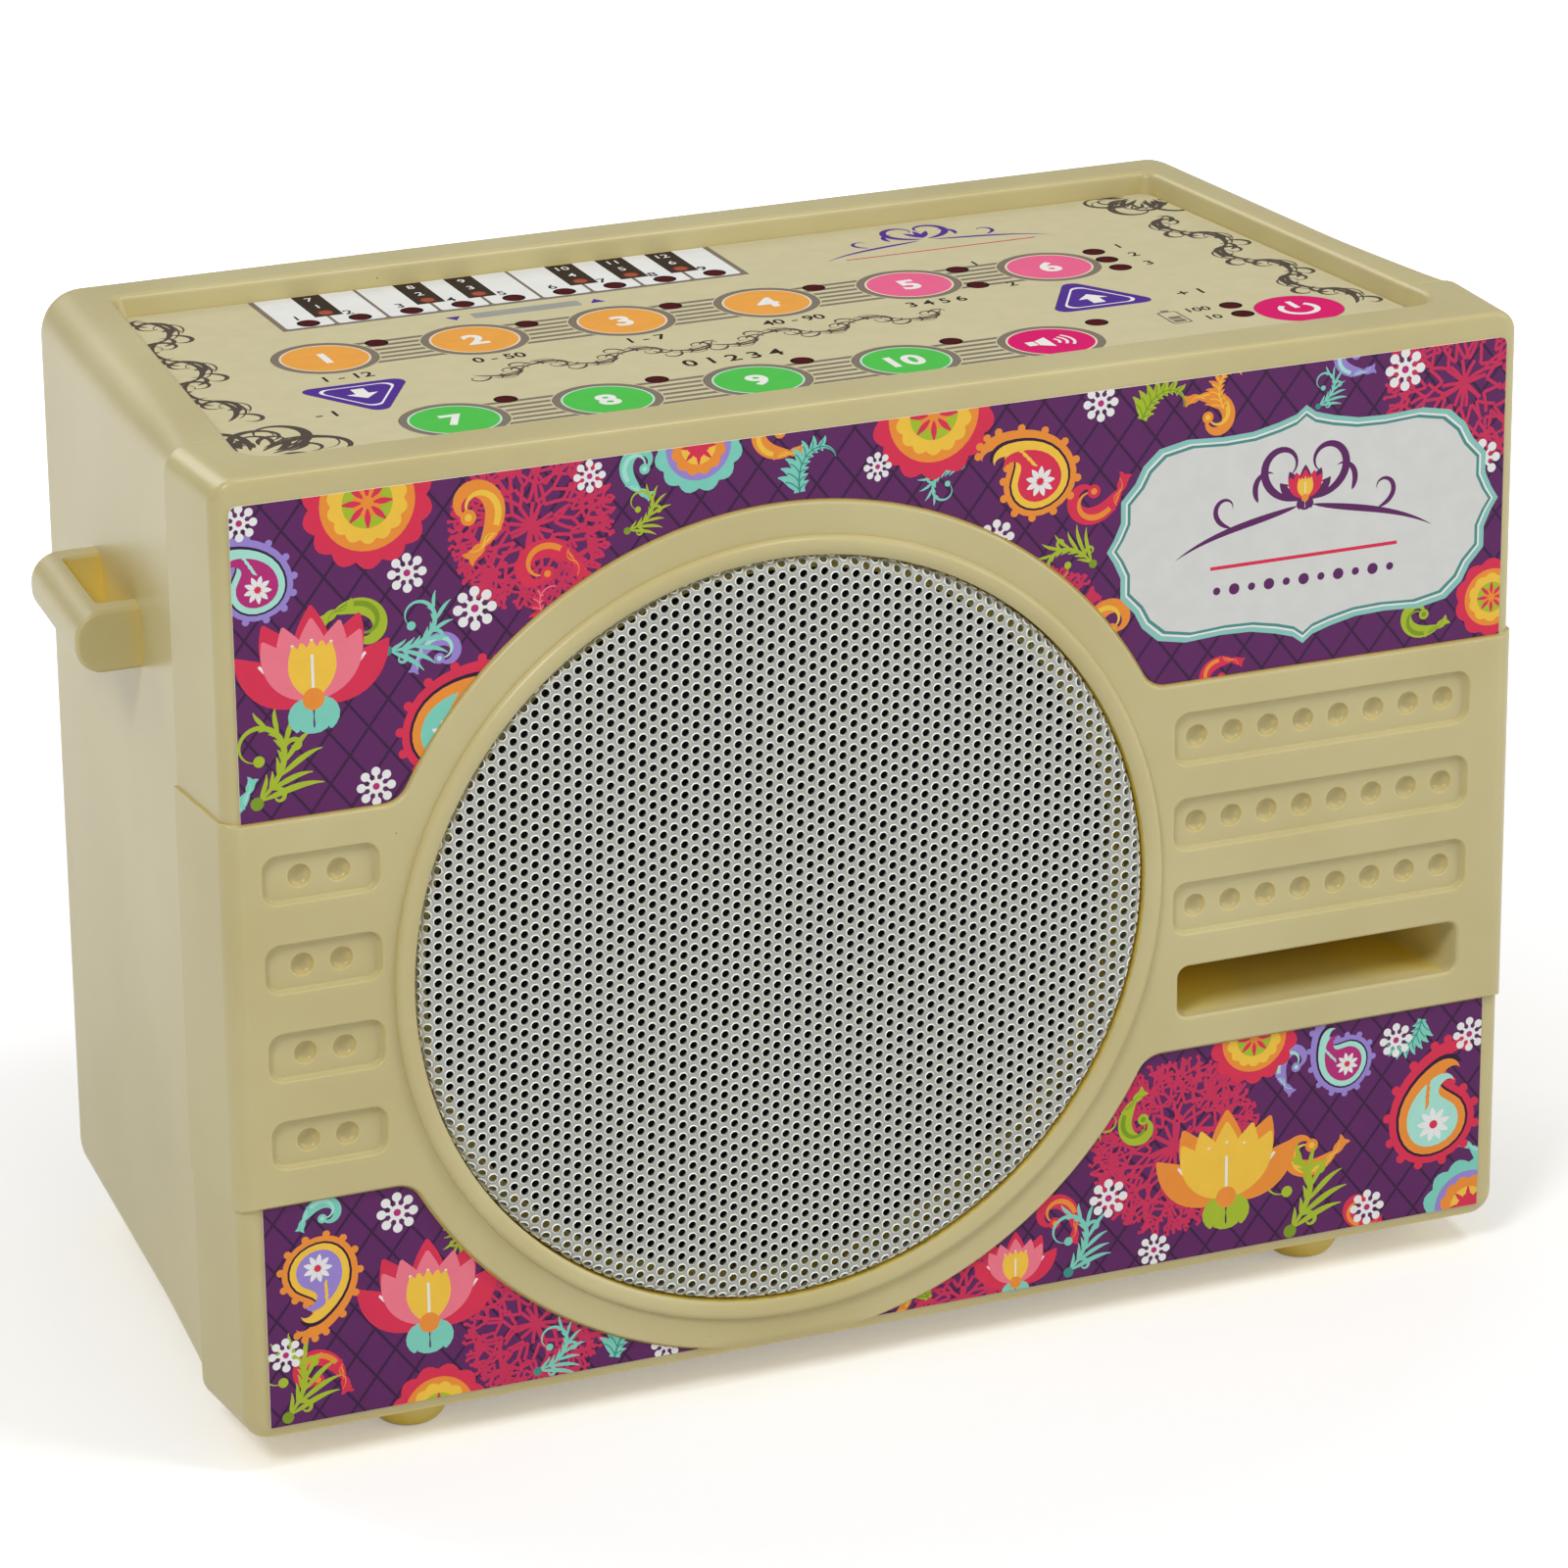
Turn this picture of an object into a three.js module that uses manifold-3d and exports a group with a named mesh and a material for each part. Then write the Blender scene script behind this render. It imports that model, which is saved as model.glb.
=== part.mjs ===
// Electronic tanpura: a drone box with a round speaker in front and a printed keypad on top.
// Millimetres, +Z up, front towards -Y. The origin is on the table, under the middle of the box.
// Pieces are drawn in the case's own frame: y is the depth behind the front face, and z is the
// height over the speaker's axis. One group at the end stands the case on the table.
import * as THREE from 'three';
import { mergeVertices, mergeGeometries } from 'three/addons/utils/BufferGeometryUtils.js';
import Module from 'manifold-3d';

const wasm = await Module();
wasm.setup();

// Case
const leftShoulder = 22.8; // left side of the case to the crest of the bead round the grille
const rightShoulder = 54.2; // and from the crest to the right side
const browHeight = 12.9; // top of the ring to the rim
const chinHeight = 1; // bottom of the ring to the underside
const caseDepth = 96.5;
const seamDepth = 17; // the bezel's skirt ends here and the rear case starts
const wall = 2.5;
const frontWall = 3;
const edgeRadius = 6; // corners of the case's outline
const frontFillet = 2;
const backFillet = 6;
const bezelFlare = 0.7; // draft of the skirt, each side
const seamStep = 0.7; // the rear case is this much smaller than the skirt
const rearTaper = 6.2; // draft of the rear case at its back, each side
const rearRise = 1; // and under it
const tongueReach = 3;
const tongueThickness = 1.2;
const clearance = 0.3; // between pieces that meet
const overrun = 1; // past a face, for cuts

// Speaker side
const grilleRadius = 52;
const beadStandoff = 2; // grille's edge to the crest of the bead
const ringWidth = 5.3; // crest of the bead to the ring's edge
const plateauProud = 0.9; // belt and ring stand this far in front of the labels
const sideProud = 0.4; // and this far out of the skirt's sides
const plateauEdge = 0.45;
const plateauFillet = 3; // round corner from the belt's front to its sides
const beltTop = 26.3;
const beltBottom = 26.6;
const junctionRadius = 4; // where the belt runs into the ring
const beadOuterWidth = 0.9;
const beadInnerWidth = 1.9;
const beadProud = 1;
const sheet = 0.6; // grille sheet
const grilleRoll = 2.8;
const grilleSkirt = 3.9;
const grilleProud = 1.5;
const grilleHole = 4;
const grillePitch = 7.6;
const grilleRings = 6;
const ledgeWidth = 2.6;
const ledgeThickness = 3;
const mountRing = 5; // width of the ring that the driver's flange faces

// Driver
const flangeOverlap = 3.5; // the flange reaches this far past the grille's edge
const flangeThickness = 1.5;
const gasketThickness = 1.2;
const gasketWidth = 3.4;
const earRadius = 4.5;
const earReach = 3; // flange's edge to the ears' centres
const basketDepth = 24;
const basketFloorRadius = 30;
const basketSheet = 1.4;
const windowWidth = 24;
const windowDepth = 12;
const surroundWidth = 6;
const coneInset = 2.8; // grille's edge to the edge of the cone's surround
const coneDepth = 19;
const coneWall = 0.8;
const dustCapRadius = 13;
const dustCapHeight = 4;
const magnetRadius = 35;
const magnetThickness = 13;
const plateRadius = 33;
const plateThickness = 4;
const poleRadius = 8;

// Dimple panels and port
const panelPitch = 12.2;
const panelTopInset = 7.9; // belt's edge to the middle of the top row
const leftPanelInset = 12.5; // side of the case to the middle of the panels
const leftPanelWidth = 15.8;
const leftPanelHeight = 6.6;
const leftPanelCount = 4;
const leftDimples = 2;
const rightPanelInset = 29.1;
const rightPanelWidth = 44.6;
const rightPanelHeight = 7.4;
const rightPanelCount = 3;
const rightDimples = 8;
const panelCorner = 2;
const panelDepth = 0.9;
const panelDraft = 0.45;
const dimplePitch = 5.33;
const dimpleRadius = 1.75;
const dimpleDepth = 1.1;
const portInset = 1; // each end of the panels to the port's
const portCorner = 1.6;
const portLength = 26;
const portTaper = 5; // each end draws in by this much over the duct
const portDraft = 0.5;
const ductWall = 1.8;

// Labels
const labelThickness = 0.25;
const labelGap = 0.25;
const labelMargin = 0.2; // edge of the flat face to the labels
const labelTopMargin = 3.5; // rim to the upper label
const lowerLabelMargin = 1.1; // side of the flat face to the lower labels
const labelCorner = 1;

// Keypad recess and what lies in it
const recessDepth = 3.6; // rim to the floor, with the film on it
const filmThickness = 0.6;
const recessFront = 8.2;
const recessBackInset = 11.3; // back of the case to the recess
const recessFrontInset = 7.4; // side of the case to the recess at its front
const recessRearInset = 14.3; // and at its back
const recessFrontCorner = 5;
const recessBackCorner = 2;
const recessDraft = 0.6;
const recessLip = 0.7; // small chamfer round the recess's mouth
const floorThickness = 2.8;
const keyRadius = 7;
const keyTravel = 0.4;
const keyStemRadius = 2;
const keyPitch = 21.3;
const backRowInset = 26.9; // left edge of the recess to the first key's centre
const backRowReach = 46.8; // front edge of the recess to the keys' centres
const backRowKeys = ['main_pitch', 'fine_pitch', 'fourth_string', 'tempo', 'beats', 'style'];
const frontRowInset = 33;
const frontRowReach = 13.5;
const frontRowKeys = ['string_one', 'string_two', 'string_three', 'string_four', 'mute'];
const powerInset = 14.7; // right edge of the recess to the key's centre
const powerReach = 13.8;
const powerRadius = 5.9;
const arrowSide = 15.6; // triangular keys, corner to corner before rounding
const arrowCorner = 1.3;
const downInset = 26;
const downReach = 29.5;
const upInset = 38;
const upReach = 30;
const switchSide = 6;
const switchHeight = 3.4;
const plungerRadius = 1.7;
const plungerHeight = 0.6;
const boardThickness = 1.6;
const boardFrontInset = 7.8; // front edge of the recess to the keypad board
const boardBackInset = 5.2;
const boardSideInset = 1.2; // recess's half width at its back to the board's
const lampRadius = 1.5;
const lampHeight = 4;
const postRadius = 3.2;
const keypadScrewInset = 7; // from the sides of the board
const keypadScrewFront = 17; // from its front edge
const keypadScrewBack = 14; // and from its back edge

// Strap lugs
const lugDrop = 31.9; // rim to the middle of the lug
const lugFront = 36.7;
const lugLength = 27;
const lugReach = 9;
const lugThickness = 8.6;
const lugCorner = 3.9;
const lugSlotWidth = 5;
const lugArm = 3.6;

// Case screws and feet
const towerInset = 14.5; // side of the case to a screw's axis
const towerTopInset = 22.2; // rim to the upper screws
const towerBottomInset = 14.3; // underside to the lower screws
const towerRadius = 6;
const towerBore = 4.2;
const towerSeat = 6; // solid end of a tower, under the screw's head
const bossRadius = 4.6;
const bossLength = 22;
const shankRadius = 1.5;
const headRadius = 3;
const headHeight = 2;
const headTopShare = 0.75; // of the head's radius
const caseScrewLength = 20;
const smallScrewLength = 6;
const footInset = 25.7; // side of the case to a foot's axis
const frontFootY = 10;
const rearFootInset = 16.5; // back of the case to a rear foot's axis
const footRadius = 6.6;
const footHeight = 4.6;
const footFlatShare = 0.62; // of the foot's radius
const footStemRadius = 2;
const footStemLength = 5;

// Main board, battery and sockets
const mainBoardHalf = 60;
const mainBoardHeight = 66;
const mainBoardMargin = 4; // left towers to the board
const mainBoardZ = 6;
const mainBoardGap = 6.6; // back wall to the board
const mainPostInset = 5;
const cellRadius = 9.2;
const packWrap = 0.4;
const trayWall = 1.5;
const trayHeight = 12;
const packInset = 50.5; // right side of the case to the pack's middle
const packFront = 19;
const packBackGap = 9; // back wall to the pack
const strapWidth = 12;
const strapThickness = 1;
const socketZ = -14;
const inletX = -44;
const lineOutX = -22;
const inletBore = 2.9;
const inletPin = 1;
const inletNose = 4.2;
const lineOutBore = 1.8;
const lineOutNose = 3.6;
const socketSide = 11;
const socketDepth = 3;
const ribbonWidth = 18;
const ribbonThickness = 0.8;
const ribbonX = -50;
const ribbonCrease = 0.1; // least corner of the folded ribbon
const leastCorner = 1; // of the case's outline where a fillet has drawn it in
const canRise = 14; // lower edge of the main board to its capacitors
const canShares = [-0.7, -0.45, 0.75]; // of the main board's half width
const earAngles = [45, 135, 225, 315]; // degrees round the speaker
const backRowPaints = ['amber', 'amber', 'amber', 'amber', 'pink', 'pink'];
const frontRowPaints = ['green', 'green', 'green', 'green', 'crimson'];

// Sizes that follow from the grille and the case round it
const beadRadius = grilleRadius + beadStandoff;
const ringRadius = beadRadius + ringWidth;
const caseHalfWidth = beadRadius + (leftShoulder + rightShoulder) / 2; // at the front face
const caseAboveAxis = ringRadius + browHeight; // speaker axis to the rim on top
const caseBelowAxis = ringRadius + chinHeight; // speaker axis to the case's underside
const speakerX = (leftShoulder - rightShoulder) / 2;
const flangeRadius = grilleRadius + flangeOverlap;
const earCircle = flangeRadius + earReach;
const coneRadius = grilleRadius - coneInset;
const panelTopHeight = beltTop - panelTopInset;
const leftPanelX = leftPanelInset - caseHalfWidth;
const rightPanelX = caseHalfWidth - rightPanelInset;
const portWidth = rightPanelWidth - 2 * portInset;
const portHeight = rightPanelHeight;
const labelHalfWidth = caseHalfWidth - frontFillet - labelMargin;
const labelTop = caseAboveAxis - labelTopMargin;
const lowerLabelHalfWidth = caseHalfWidth - frontFillet - lowerLabelMargin;
const lowerLabelBottom = caseBelowAxis - frontFillet - labelMargin;
const recessBack = caseDepth - recessBackInset;
const recessFrontHalf = caseHalfWidth - recessFrontInset;
const recessBackHalf = caseHalfWidth - recessRearInset;
const backRowX = backRowInset - recessFrontHalf;
const backRowY = recessFront + backRowReach;
const frontRowX = frontRowInset - recessFrontHalf;
const frontRowY = recessFront + frontRowReach;
const boardFront = recessFront + boardFrontInset;
const boardBack = recessBack - boardBackInset;
const boardHalf = recessBackHalf - boardSideInset;
const lugHeight = caseAboveAxis - lugDrop; // over the axis
const towerX = caseHalfWidth - towerInset;
const towerTop = caseAboveAxis - towerTopInset;
const towerBottom = caseBelowAxis - towerBottomInset;
const footX = caseHalfWidth - footInset;
const rearFootY = caseDepth - rearFootInset;
const mainBoardX = mainBoardHalf + mainBoardMargin + towerRadius - towerX;
const cellLength = caseDepth - wall - packBackGap - packFront;
const packX = caseHalfWidth - packInset;
const packY = packFront + cellLength / 2;

const cornerSteps = 3;
const curveSteps = 6; // along the longer arcs of a flat shape
const filletSteps = 3;
const dimpleSides = 6;
const tinySides = 6; // plungers and lamps
const smallSides = 8;
const keySides = 16;
const footSides = 12;
const hiddenSides = 16; // of the driver's round pieces
const roundSides = 44;

const cream = 0xcfc59c;
const paint = (color, roughness, metalness = 0) =>
  new THREE.MeshStandardMaterial({ color, roughness, metalness });
const materials = {
  shell: paint(cream, 0.42),
  film: paint(0xcfc7a2, 0.5),
  amber: paint(0xe9a64f, 0.5),
  pink: paint(0xe26a90, 0.5),
  green: paint(0x5cc25a, 0.5),
  crimson: paint(0xcf2168, 0.5),
  violet: paint(0x573a8c, 0.5),
  label: paint(0x5a2560, 0.45),
  grille: paint(0xc4c8c0, 0.45, 0.6),
  steel: paint(0xa9adb0, 0.35, 0.9),
  ferrite: paint(0x3a3b3d, 0.8),
  paper: paint(0x1d1d1f, 0.9),
  rubber: paint(0x222222, 0.85),
  board: paint(0x2f6b3a, 0.55),
  wrap: paint(0x2c5fa8, 0.4),
  black: paint(0x18181a, 0.4),
  ribbon: paint(0xb9bcc0, 0.6),
};

// Between three.js geometry and solids that can be joined and cut
function solid(geometry) {
  const bare = geometry.clone();
  bare.deleteAttribute('normal');
  bare.deleteAttribute('uv');
  const merged = mergeVertices(bare, 1e-4);
  return new wasm.Manifold(new wasm.Mesh({
    numProp: 3,
    vertProperties: new Float32Array(merged.attributes.position.array),
    triVerts: new Uint32Array(merged.index.array),
  }));
}

function geometryOf(body) {
  const mesh = body.getMesh();
  const geometry = new THREE.BufferGeometry();
  geometry.setAttribute('position', new THREE.BufferAttribute(mesh.vertProperties, 3));
  geometry.setIndex(new THREE.BufferAttribute(mesh.triVerts, 1));
  const faceted = geometry.toNonIndexed();
  faceted.computeVertexNormals();
  return faceted;
}

const union = (parts) => wasm.Manifold.union(parts);

// A closed skin over rings of equal counts, with a flat fan over each end
function loft(rings) {
  const count = rings[0].length;
  const points = [...rings.flat()];
  const faces = [];
  for (let i = 0; i + 1 < rings.length; i++) {
    for (let j = 0; j < count; j++) {
      const next = (j + 1) % count;
      const a = i * count + j;
      const b = i * count + next;
      faces.push(a, b, b + count, a, b + count, a + count);
    }
  }
  const middle = (ring) => ring.reduce((sum, p) => sum.add(p), new THREE.Vector3()).divideScalar(count);
  const first = points.push(middle(rings[0])) - 1;
  const last = points.push(middle(rings[rings.length - 1])) - 1;
  const lastRow = (rings.length - 1) * count;
  for (let j = 0; j < count; j++) {
    const next = (j + 1) % count;
    faces.push(first, next, j, last, lastRow + j, lastRow + next);
  }
  const geometry = new THREE.BufferGeometry().setFromPoints(points);
  geometry.setIndex(faces);
  const made = solid(geometry);
  if (made.volume() > 0) return made;
  for (let i = 0; i < faces.length; i += 3) [faces[i], faces[i + 1]] = [faces[i + 1], faces[i]];
  geometry.setIndex(faces);
  return solid(geometry);
}

// A polygon with each corner turned into an arc
function rounded(corners, radii, steps = cornerSteps) {
  const out = [];
  corners.forEach((corner, i) => {
    const back = corners[(i + corners.length - 1) % corners.length].clone().sub(corner).normalize();
    const ahead = corners[(i + 1) % corners.length].clone().sub(corner).normalize();
    const radius = Array.isArray(radii) ? radii[i] : radii;
    const half = Math.acos(THREE.MathUtils.clamp(back.dot(ahead), -1, 1)) / 2;
    const centre = back.clone().add(ahead).normalize().multiplyScalar(radius / Math.sin(half)).add(corner);
    const from = back.clone().multiplyScalar(radius / Math.tan(half)).add(corner).sub(centre);
    const to = ahead.clone().multiplyScalar(radius / Math.tan(half)).add(corner).sub(centre);
    const turn = Math.atan2(from.cross(to), from.dot(to));
    for (let k = 0; k <= steps; k++) {
      out.push(from.clone().rotateAround(new THREE.Vector2(), turn * k / steps).add(centre));
    }
  });
  return out;
}

const point = (x, y) => new THREE.Vector2(x, y);
const box2 = (left, right, low, high) =>
  [point(left, low), point(right, low), point(right, high), point(left, high)];
const atDepth = (outline, y) => outline.map((p) => new THREE.Vector3(p.x, y, p.y));
const atHeight = (outline, z) => outline.map((p) => new THREE.Vector3(p.x, p.y, z));

// A flat shape drawn from the front, given thickness from one depth to another
function slabBack(shape, from, to, bevel = 0) {
  const geometry = new THREE.ExtrudeGeometry(shape, {
    depth: to - from - 2 * bevel,
    bevelEnabled: bevel > 0,
    bevelThickness: bevel,
    bevelSize: bevel,
    bevelOffset: -bevel,
    bevelSegments: 2,
    curveSegments: curveSteps,
  });
  return solid(geometry.rotateX(Math.PI / 2).translate(0, to - bevel, 0));
}

// A flat shape drawn from above, given thickness from one height to another
function slabUp(shape, from, to, segments = cornerSteps) {
  const geometry = new THREE.ExtrudeGeometry(shape, {
    depth: to - from, bevelEnabled: false, curveSegments: segments,
  });
  return solid(geometry.translate(0, 0, from));
}

const block = (x0, x1, y0, y1, z0, z1) =>
  solid(new THREE.BoxGeometry(x1 - x0, y1 - y0, z1 - z0)
    .translate((x0 + x1) / 2, (y0 + y1) / 2, (z0 + z1) / 2));

// A profile of radius and depth, turned about an axis that runs back from the front
function turned(profile, x, z, sides = roundSides) {
  const points = profile.map(([radius, depth]) => point(radius, depth));
  const made = solid(new THREE.LatheGeometry(points, sides).translate(x, 0, z));
  if (made.volume() > 0) return made;
  return solid(new THREE.LatheGeometry(points.reverse(), sides).translate(x, 0, z));
}

// The same about an upright axis, with radius and height
function turnedUp(profile, x, y, sides) {
  const points = profile.map(([radius, height]) => point(radius, height));
  const place = (geometry) => geometry.rotateX(Math.PI / 2).translate(x, y, 0);
  const made = solid(place(new THREE.LatheGeometry(points, sides)));
  if (made.volume() > 0) return made;
  return solid(place(new THREE.LatheGeometry(points.reverse(), sides)));
}

const rod = (x, z, radius, from, to, sides = smallSides) =>
  turned([[0, from], [radius, from], [radius, to], [0, to]], x, z, sides);
const post = (x, y, radius, from, to, sides = smallSides) =>
  turnedUp([[0, from], [radius, from], [radius, to], [0, to]], x, y, sides);

// Heights and depths that several pieces share
const rimHeight = caseAboveAxis;
const floorHeight = rimHeight - recessDepth;
const filmTop = floorHeight + filmThickness;
const ceiling = floorHeight - floorThickness; // underside of the recess's floor
const grilleFace = -grilleProud;
const ledgeFront = grilleFace + grilleSkirt + clearance;
const ledgeBack = ledgeFront + ledgeThickness;
const gasketFront = ledgeBack + clearance;
const flangeFront = gasketFront + gasketThickness + clearance;
const flangeBack = flangeFront + flangeThickness;
const skirtHalf = caseHalfWidth + bezelFlare;
const rearHalf = skirtHalf - seamStep;
const rearBackHalf = caseHalfWidth - rearTaper;
const rearLow = caseBelowAxis - seamStep / 2;
const halfAt = (y) => THREE.MathUtils.mapLinear(y, seamDepth, caseDepth, rearHalf, rearBackHalf);
const lowAt = (y) => THREE.MathUtils.mapLinear(y, seamDepth, caseDepth, rearLow, rearLow - rearRise);
const panelHeights = (count) => Array.from({ length: count }, (_, i) => panelTopHeight - i * panelPitch);
const portZ = panelTopHeight - rightPanelCount * panelPitch;
const wellDepth = keyTravel + clearance;
const switchTop = ceiling - clearance - keyTravel - clearance;
const boardTop = switchTop - plungerHeight - switchHeight;

function caseOutline(half, low, high, inset, corner = edgeRadius) {
  const outline = box2(-half + inset, half - inset, -low + inset, high - inset);
  return rounded(outline, Math.max(corner - inset, leastCorner));
}

// Skin rings of the bezel's outside: a quarter-round front edge, then the drafted skirt
function bezelOutside(half, flare, low, high, front, fillet) {
  const rings = [];
  for (let k = 0; k <= filletSteps; k++) {
    const angle = k / filletSteps * Math.PI / 2;
    const inset = fillet * (1 - Math.sin(angle));
    rings.push(atDepth(caseOutline(half, low, high, inset), front + fillet * (1 - Math.cos(angle))));
  }
  rings.push(atDepth(caseOutline(half + flare, low + flare / 2, high, 0), seamDepth));
  return loft(rings);
}

function rearOutside() {
  const rings = [atDepth(caseOutline(rearHalf, rearLow, rimHeight, 0), seamDepth)];
  const turnDepth = caseDepth - backFillet;
  for (let k = 0; k <= filletSteps; k++) {
    const angle = k / filletSteps * Math.PI / 2;
    const inset = backFillet * (1 - Math.cos(angle));
    const y = turnDepth + backFillet * Math.sin(angle);
    rings.push(atDepth(caseOutline(halfAt(y), lowAt(y), rimHeight, inset), y));
  }
  return loft(rings);
}

// The hollow inside both shells, and the tongue that fits inside the skirt
function hollowRing(half, low, inset, y) {
  const outline = box2(-half + inset, half - inset, -low + inset, ceiling + Math.min(wall - inset, 0));
  return atDepth(rounded(outline, edgeRadius / 2), y);
}

function bezelHollow() {
  return loft([
    hollowRing(caseHalfWidth, caseBelowAxis, wall, frontWall),
    hollowRing(skirtHalf, caseBelowAxis + bezelFlare / 2, wall, seamDepth + overrun),
  ]);
}

function rearHollow() {
  return loft([
    hollowRing(halfAt(seamDepth), lowAt(seamDepth), wall, seamDepth - tongueReach - overrun),
    hollowRing(halfAt(caseDepth - backFillet), lowAt(caseDepth - backFillet), wall, caseDepth - backFillet),
    hollowRing(halfAt(caseDepth - wall), lowAt(caseDepth - wall), wall + backFillet / 4, caseDepth - wall),
  ]);
}

function tongue() {
  const outer = wall + clearance;
  const inner = outer + tongueThickness;
  const band = (inset, from, to) => loft([
    hollowRing(caseHalfWidth, caseBelowAxis, inset, from),
    hollowRing(caseHalfWidth, caseBelowAxis, inset, to),
  ]);
  const front = seamDepth - tongueReach;
  const back = seamDepth + tongueReach;
  const lip = band(outer, front, seamDepth).add(band(wall - tongueThickness / 2, seamDepth, back));
  return lip.subtract(band(inner, front - overrun, back + overrun));
}

// The recess for the keypad, cut into both shells from above
function recessOutline(inset) {
  return rounded([
    point(-recessFrontHalf + inset, recessFront + inset),
    point(recessFrontHalf - inset, recessFront + inset),
    point(recessBackHalf - inset, recessBack - inset),
    point(-recessBackHalf + inset, recessBack - inset),
  ], [recessFrontCorner, recessFrontCorner, recessBackCorner, recessBackCorner]);
}

function recessCut() {
  return loft([
    atHeight(recessOutline(recessDraft), floorHeight),
    atHeight(recessOutline(0), rimHeight - recessLip),
    atHeight(recessOutline(-recessLip), rimHeight),
    atHeight(recessOutline(-recessLip), rimHeight + overrun),
  ]);
}

// Keys: where each stands, and its outline
const circleShape = (radius) => {
  const shape = new THREE.Shape();
  for (let k = 0; k < keySides; k++) {
    const angle = 2 * Math.PI * k / keySides;
    const p = point(radius * Math.cos(angle), radius * Math.sin(angle));
    if (k) shape.lineTo(p.x, p.y);
    else shape.moveTo(p.x, p.y);
  }
  shape.closePath();
  return shape;
};

function triangleShape(side, turnedDown, grow) {
  const out = side / Math.sqrt(3) + 2 * grow;
  const corners = Array.from({ length: 3 }, (_, k) => {
    const angle = 2 * Math.PI * k / 3 + (turnedDown ? -Math.PI / 2 : Math.PI / 2);
    return point(out * Math.cos(angle), out * Math.sin(angle));
  });
  return new THREE.Shape(rounded(corners, arrowCorner + grow, 3));
}

const keys = [
  ...backRowKeys.map((name, i) => (
    { name, x: backRowX + i * keyPitch, y: backRowY, radius: keyRadius, paint: backRowPaints[i] })),
  ...frontRowKeys.map((name, i) => (
    { name, x: frontRowX + i * keyPitch, y: frontRowY, radius: keyRadius, paint: frontRowPaints[i] })),
  {
    name: 'power', x: recessFrontHalf - powerInset, y: recessFront + powerReach,
    radius: powerRadius, paint: 'crimson',
  },
  {
    name: 'down', x: downInset - recessFrontHalf, y: recessFront + downReach,
    pointsDown: true, paint: 'violet',
  },
  {
    name: 'up', x: recessFrontHalf - upInset, y: recessFront + upReach,
    pointsDown: false, paint: 'violet',
  },
];

const keyOutline = (key, grow) =>
  key.radius ? circleShape(key.radius + grow) : triangleShape(arrowSide, key.pointsDown, grow);

function keyBody(key) {
  const cap = slabUp(keyOutline(key, 0), floorHeight, filmTop).translate([key.x, key.y, 0]);
  const stemLow = switchTop + keyTravel + clearance;
  return cap.add(post(key.x, key.y, keyStemRadius, stemLow, floorHeight + filmThickness / 2, tinySides));
}

// Wells under the keys and bores for their stems
function keyWells() {
  return union(keys.flatMap((key) => [
    slabUp(keyOutline(key, clearance), floorHeight - wellDepth, floorHeight + overrun)
      .translate([key.x, key.y, 0]),
    post(key.x, key.y, keyStemRadius + clearance, ceiling - overrun, floorHeight, tinySides),
  ]));
}

function film() {
  const sheetBody = slabUp(new THREE.Shape(recessOutline(recessDraft + clearance)), floorHeight, filmTop);
  const low = floorHeight - overrun;
  const high = filmTop + overrun;
  const well = (key) => slabUp(keyOutline(key, clearance), low, high).translate([key.x, key.y, 0]);
  return sheetBody.subtract(union(keys.map(well)));
}

// Belt and ring, drawn from the front as one raised shape; grow moves its edge outwards
function junction(side, level, grow) {
  const radius = junctionRadius - grow;
  const height = Math.abs(level) + junctionRadius;
  const reach = Math.sqrt((ringRadius + junctionRadius) ** 2 - height ** 2);
  const across = side * reach;
  const up = Math.sign(level) * height;
  return { x: speakerX + across, z: up, radius, angle: Math.atan2(up, across) };
}

function plateauShape() {
  const reach = skirtHalf + sideProud + overrun;
  const shape = new THREE.Shape();
  const half = Math.PI / 2;
  const bend = (at, from, to) => shape.absarc(at.x, at.z, junctionRadius, from, to, true);
  const leftLow = junction(-1, -beltBottom, 0);
  const rightLow = junction(1, -beltBottom, 0);
  const rightHigh = junction(1, beltTop, 0);
  const leftHigh = junction(-1, beltTop, 0);
  shape.moveTo(-reach, -beltBottom);
  shape.lineTo(leftLow.x, -beltBottom);
  bend(leftLow, half, leftLow.angle + Math.PI);
  shape.absarc(speakerX, 0, ringRadius, leftLow.angle, rightLow.angle, false);
  bend(rightLow, rightLow.angle + Math.PI, half);
  shape.lineTo(reach, -beltBottom);
  shape.lineTo(reach, beltTop);
  bend(rightHigh, -half, rightHigh.angle - Math.PI);
  shape.absarc(speakerX, 0, ringRadius, rightHigh.angle, leftHigh.angle, false);
  bend(leftHigh, leftHigh.angle - Math.PI, -half);
  shape.lineTo(-reach, beltTop);
  return shape;
}

function plateau() {
  const raised = slabBack(plateauShape(), -plateauProud, seamDepth + overrun, plateauEdge);
  const envelope = bezelOutside(
    caseHalfWidth + sideProud, bezelFlare, caseBelowAxis, caseAboveAxis, -plateauProud, plateauFillet);
  return raised.intersect(envelope);
}

function bead() {
  const profile = [[beadRadius - beadInnerWidth, frontWall / 2]];
  const steps = filletSteps + 2;
  for (let k = 0; k <= steps; k++) {
    const angle = Math.PI * (1 - k / steps);
    const width = angle > Math.PI / 2 ? beadInnerWidth : beadOuterWidth;
    profile.push([beadRadius + width * Math.cos(angle), -plateauProud - beadProud * Math.sin(angle)]);
  }
  profile.push([beadRadius + beadOuterWidth, frontWall / 2]);
  profile.push(profile[0]);
  return turned(profile, speakerX, 0);
}

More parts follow.
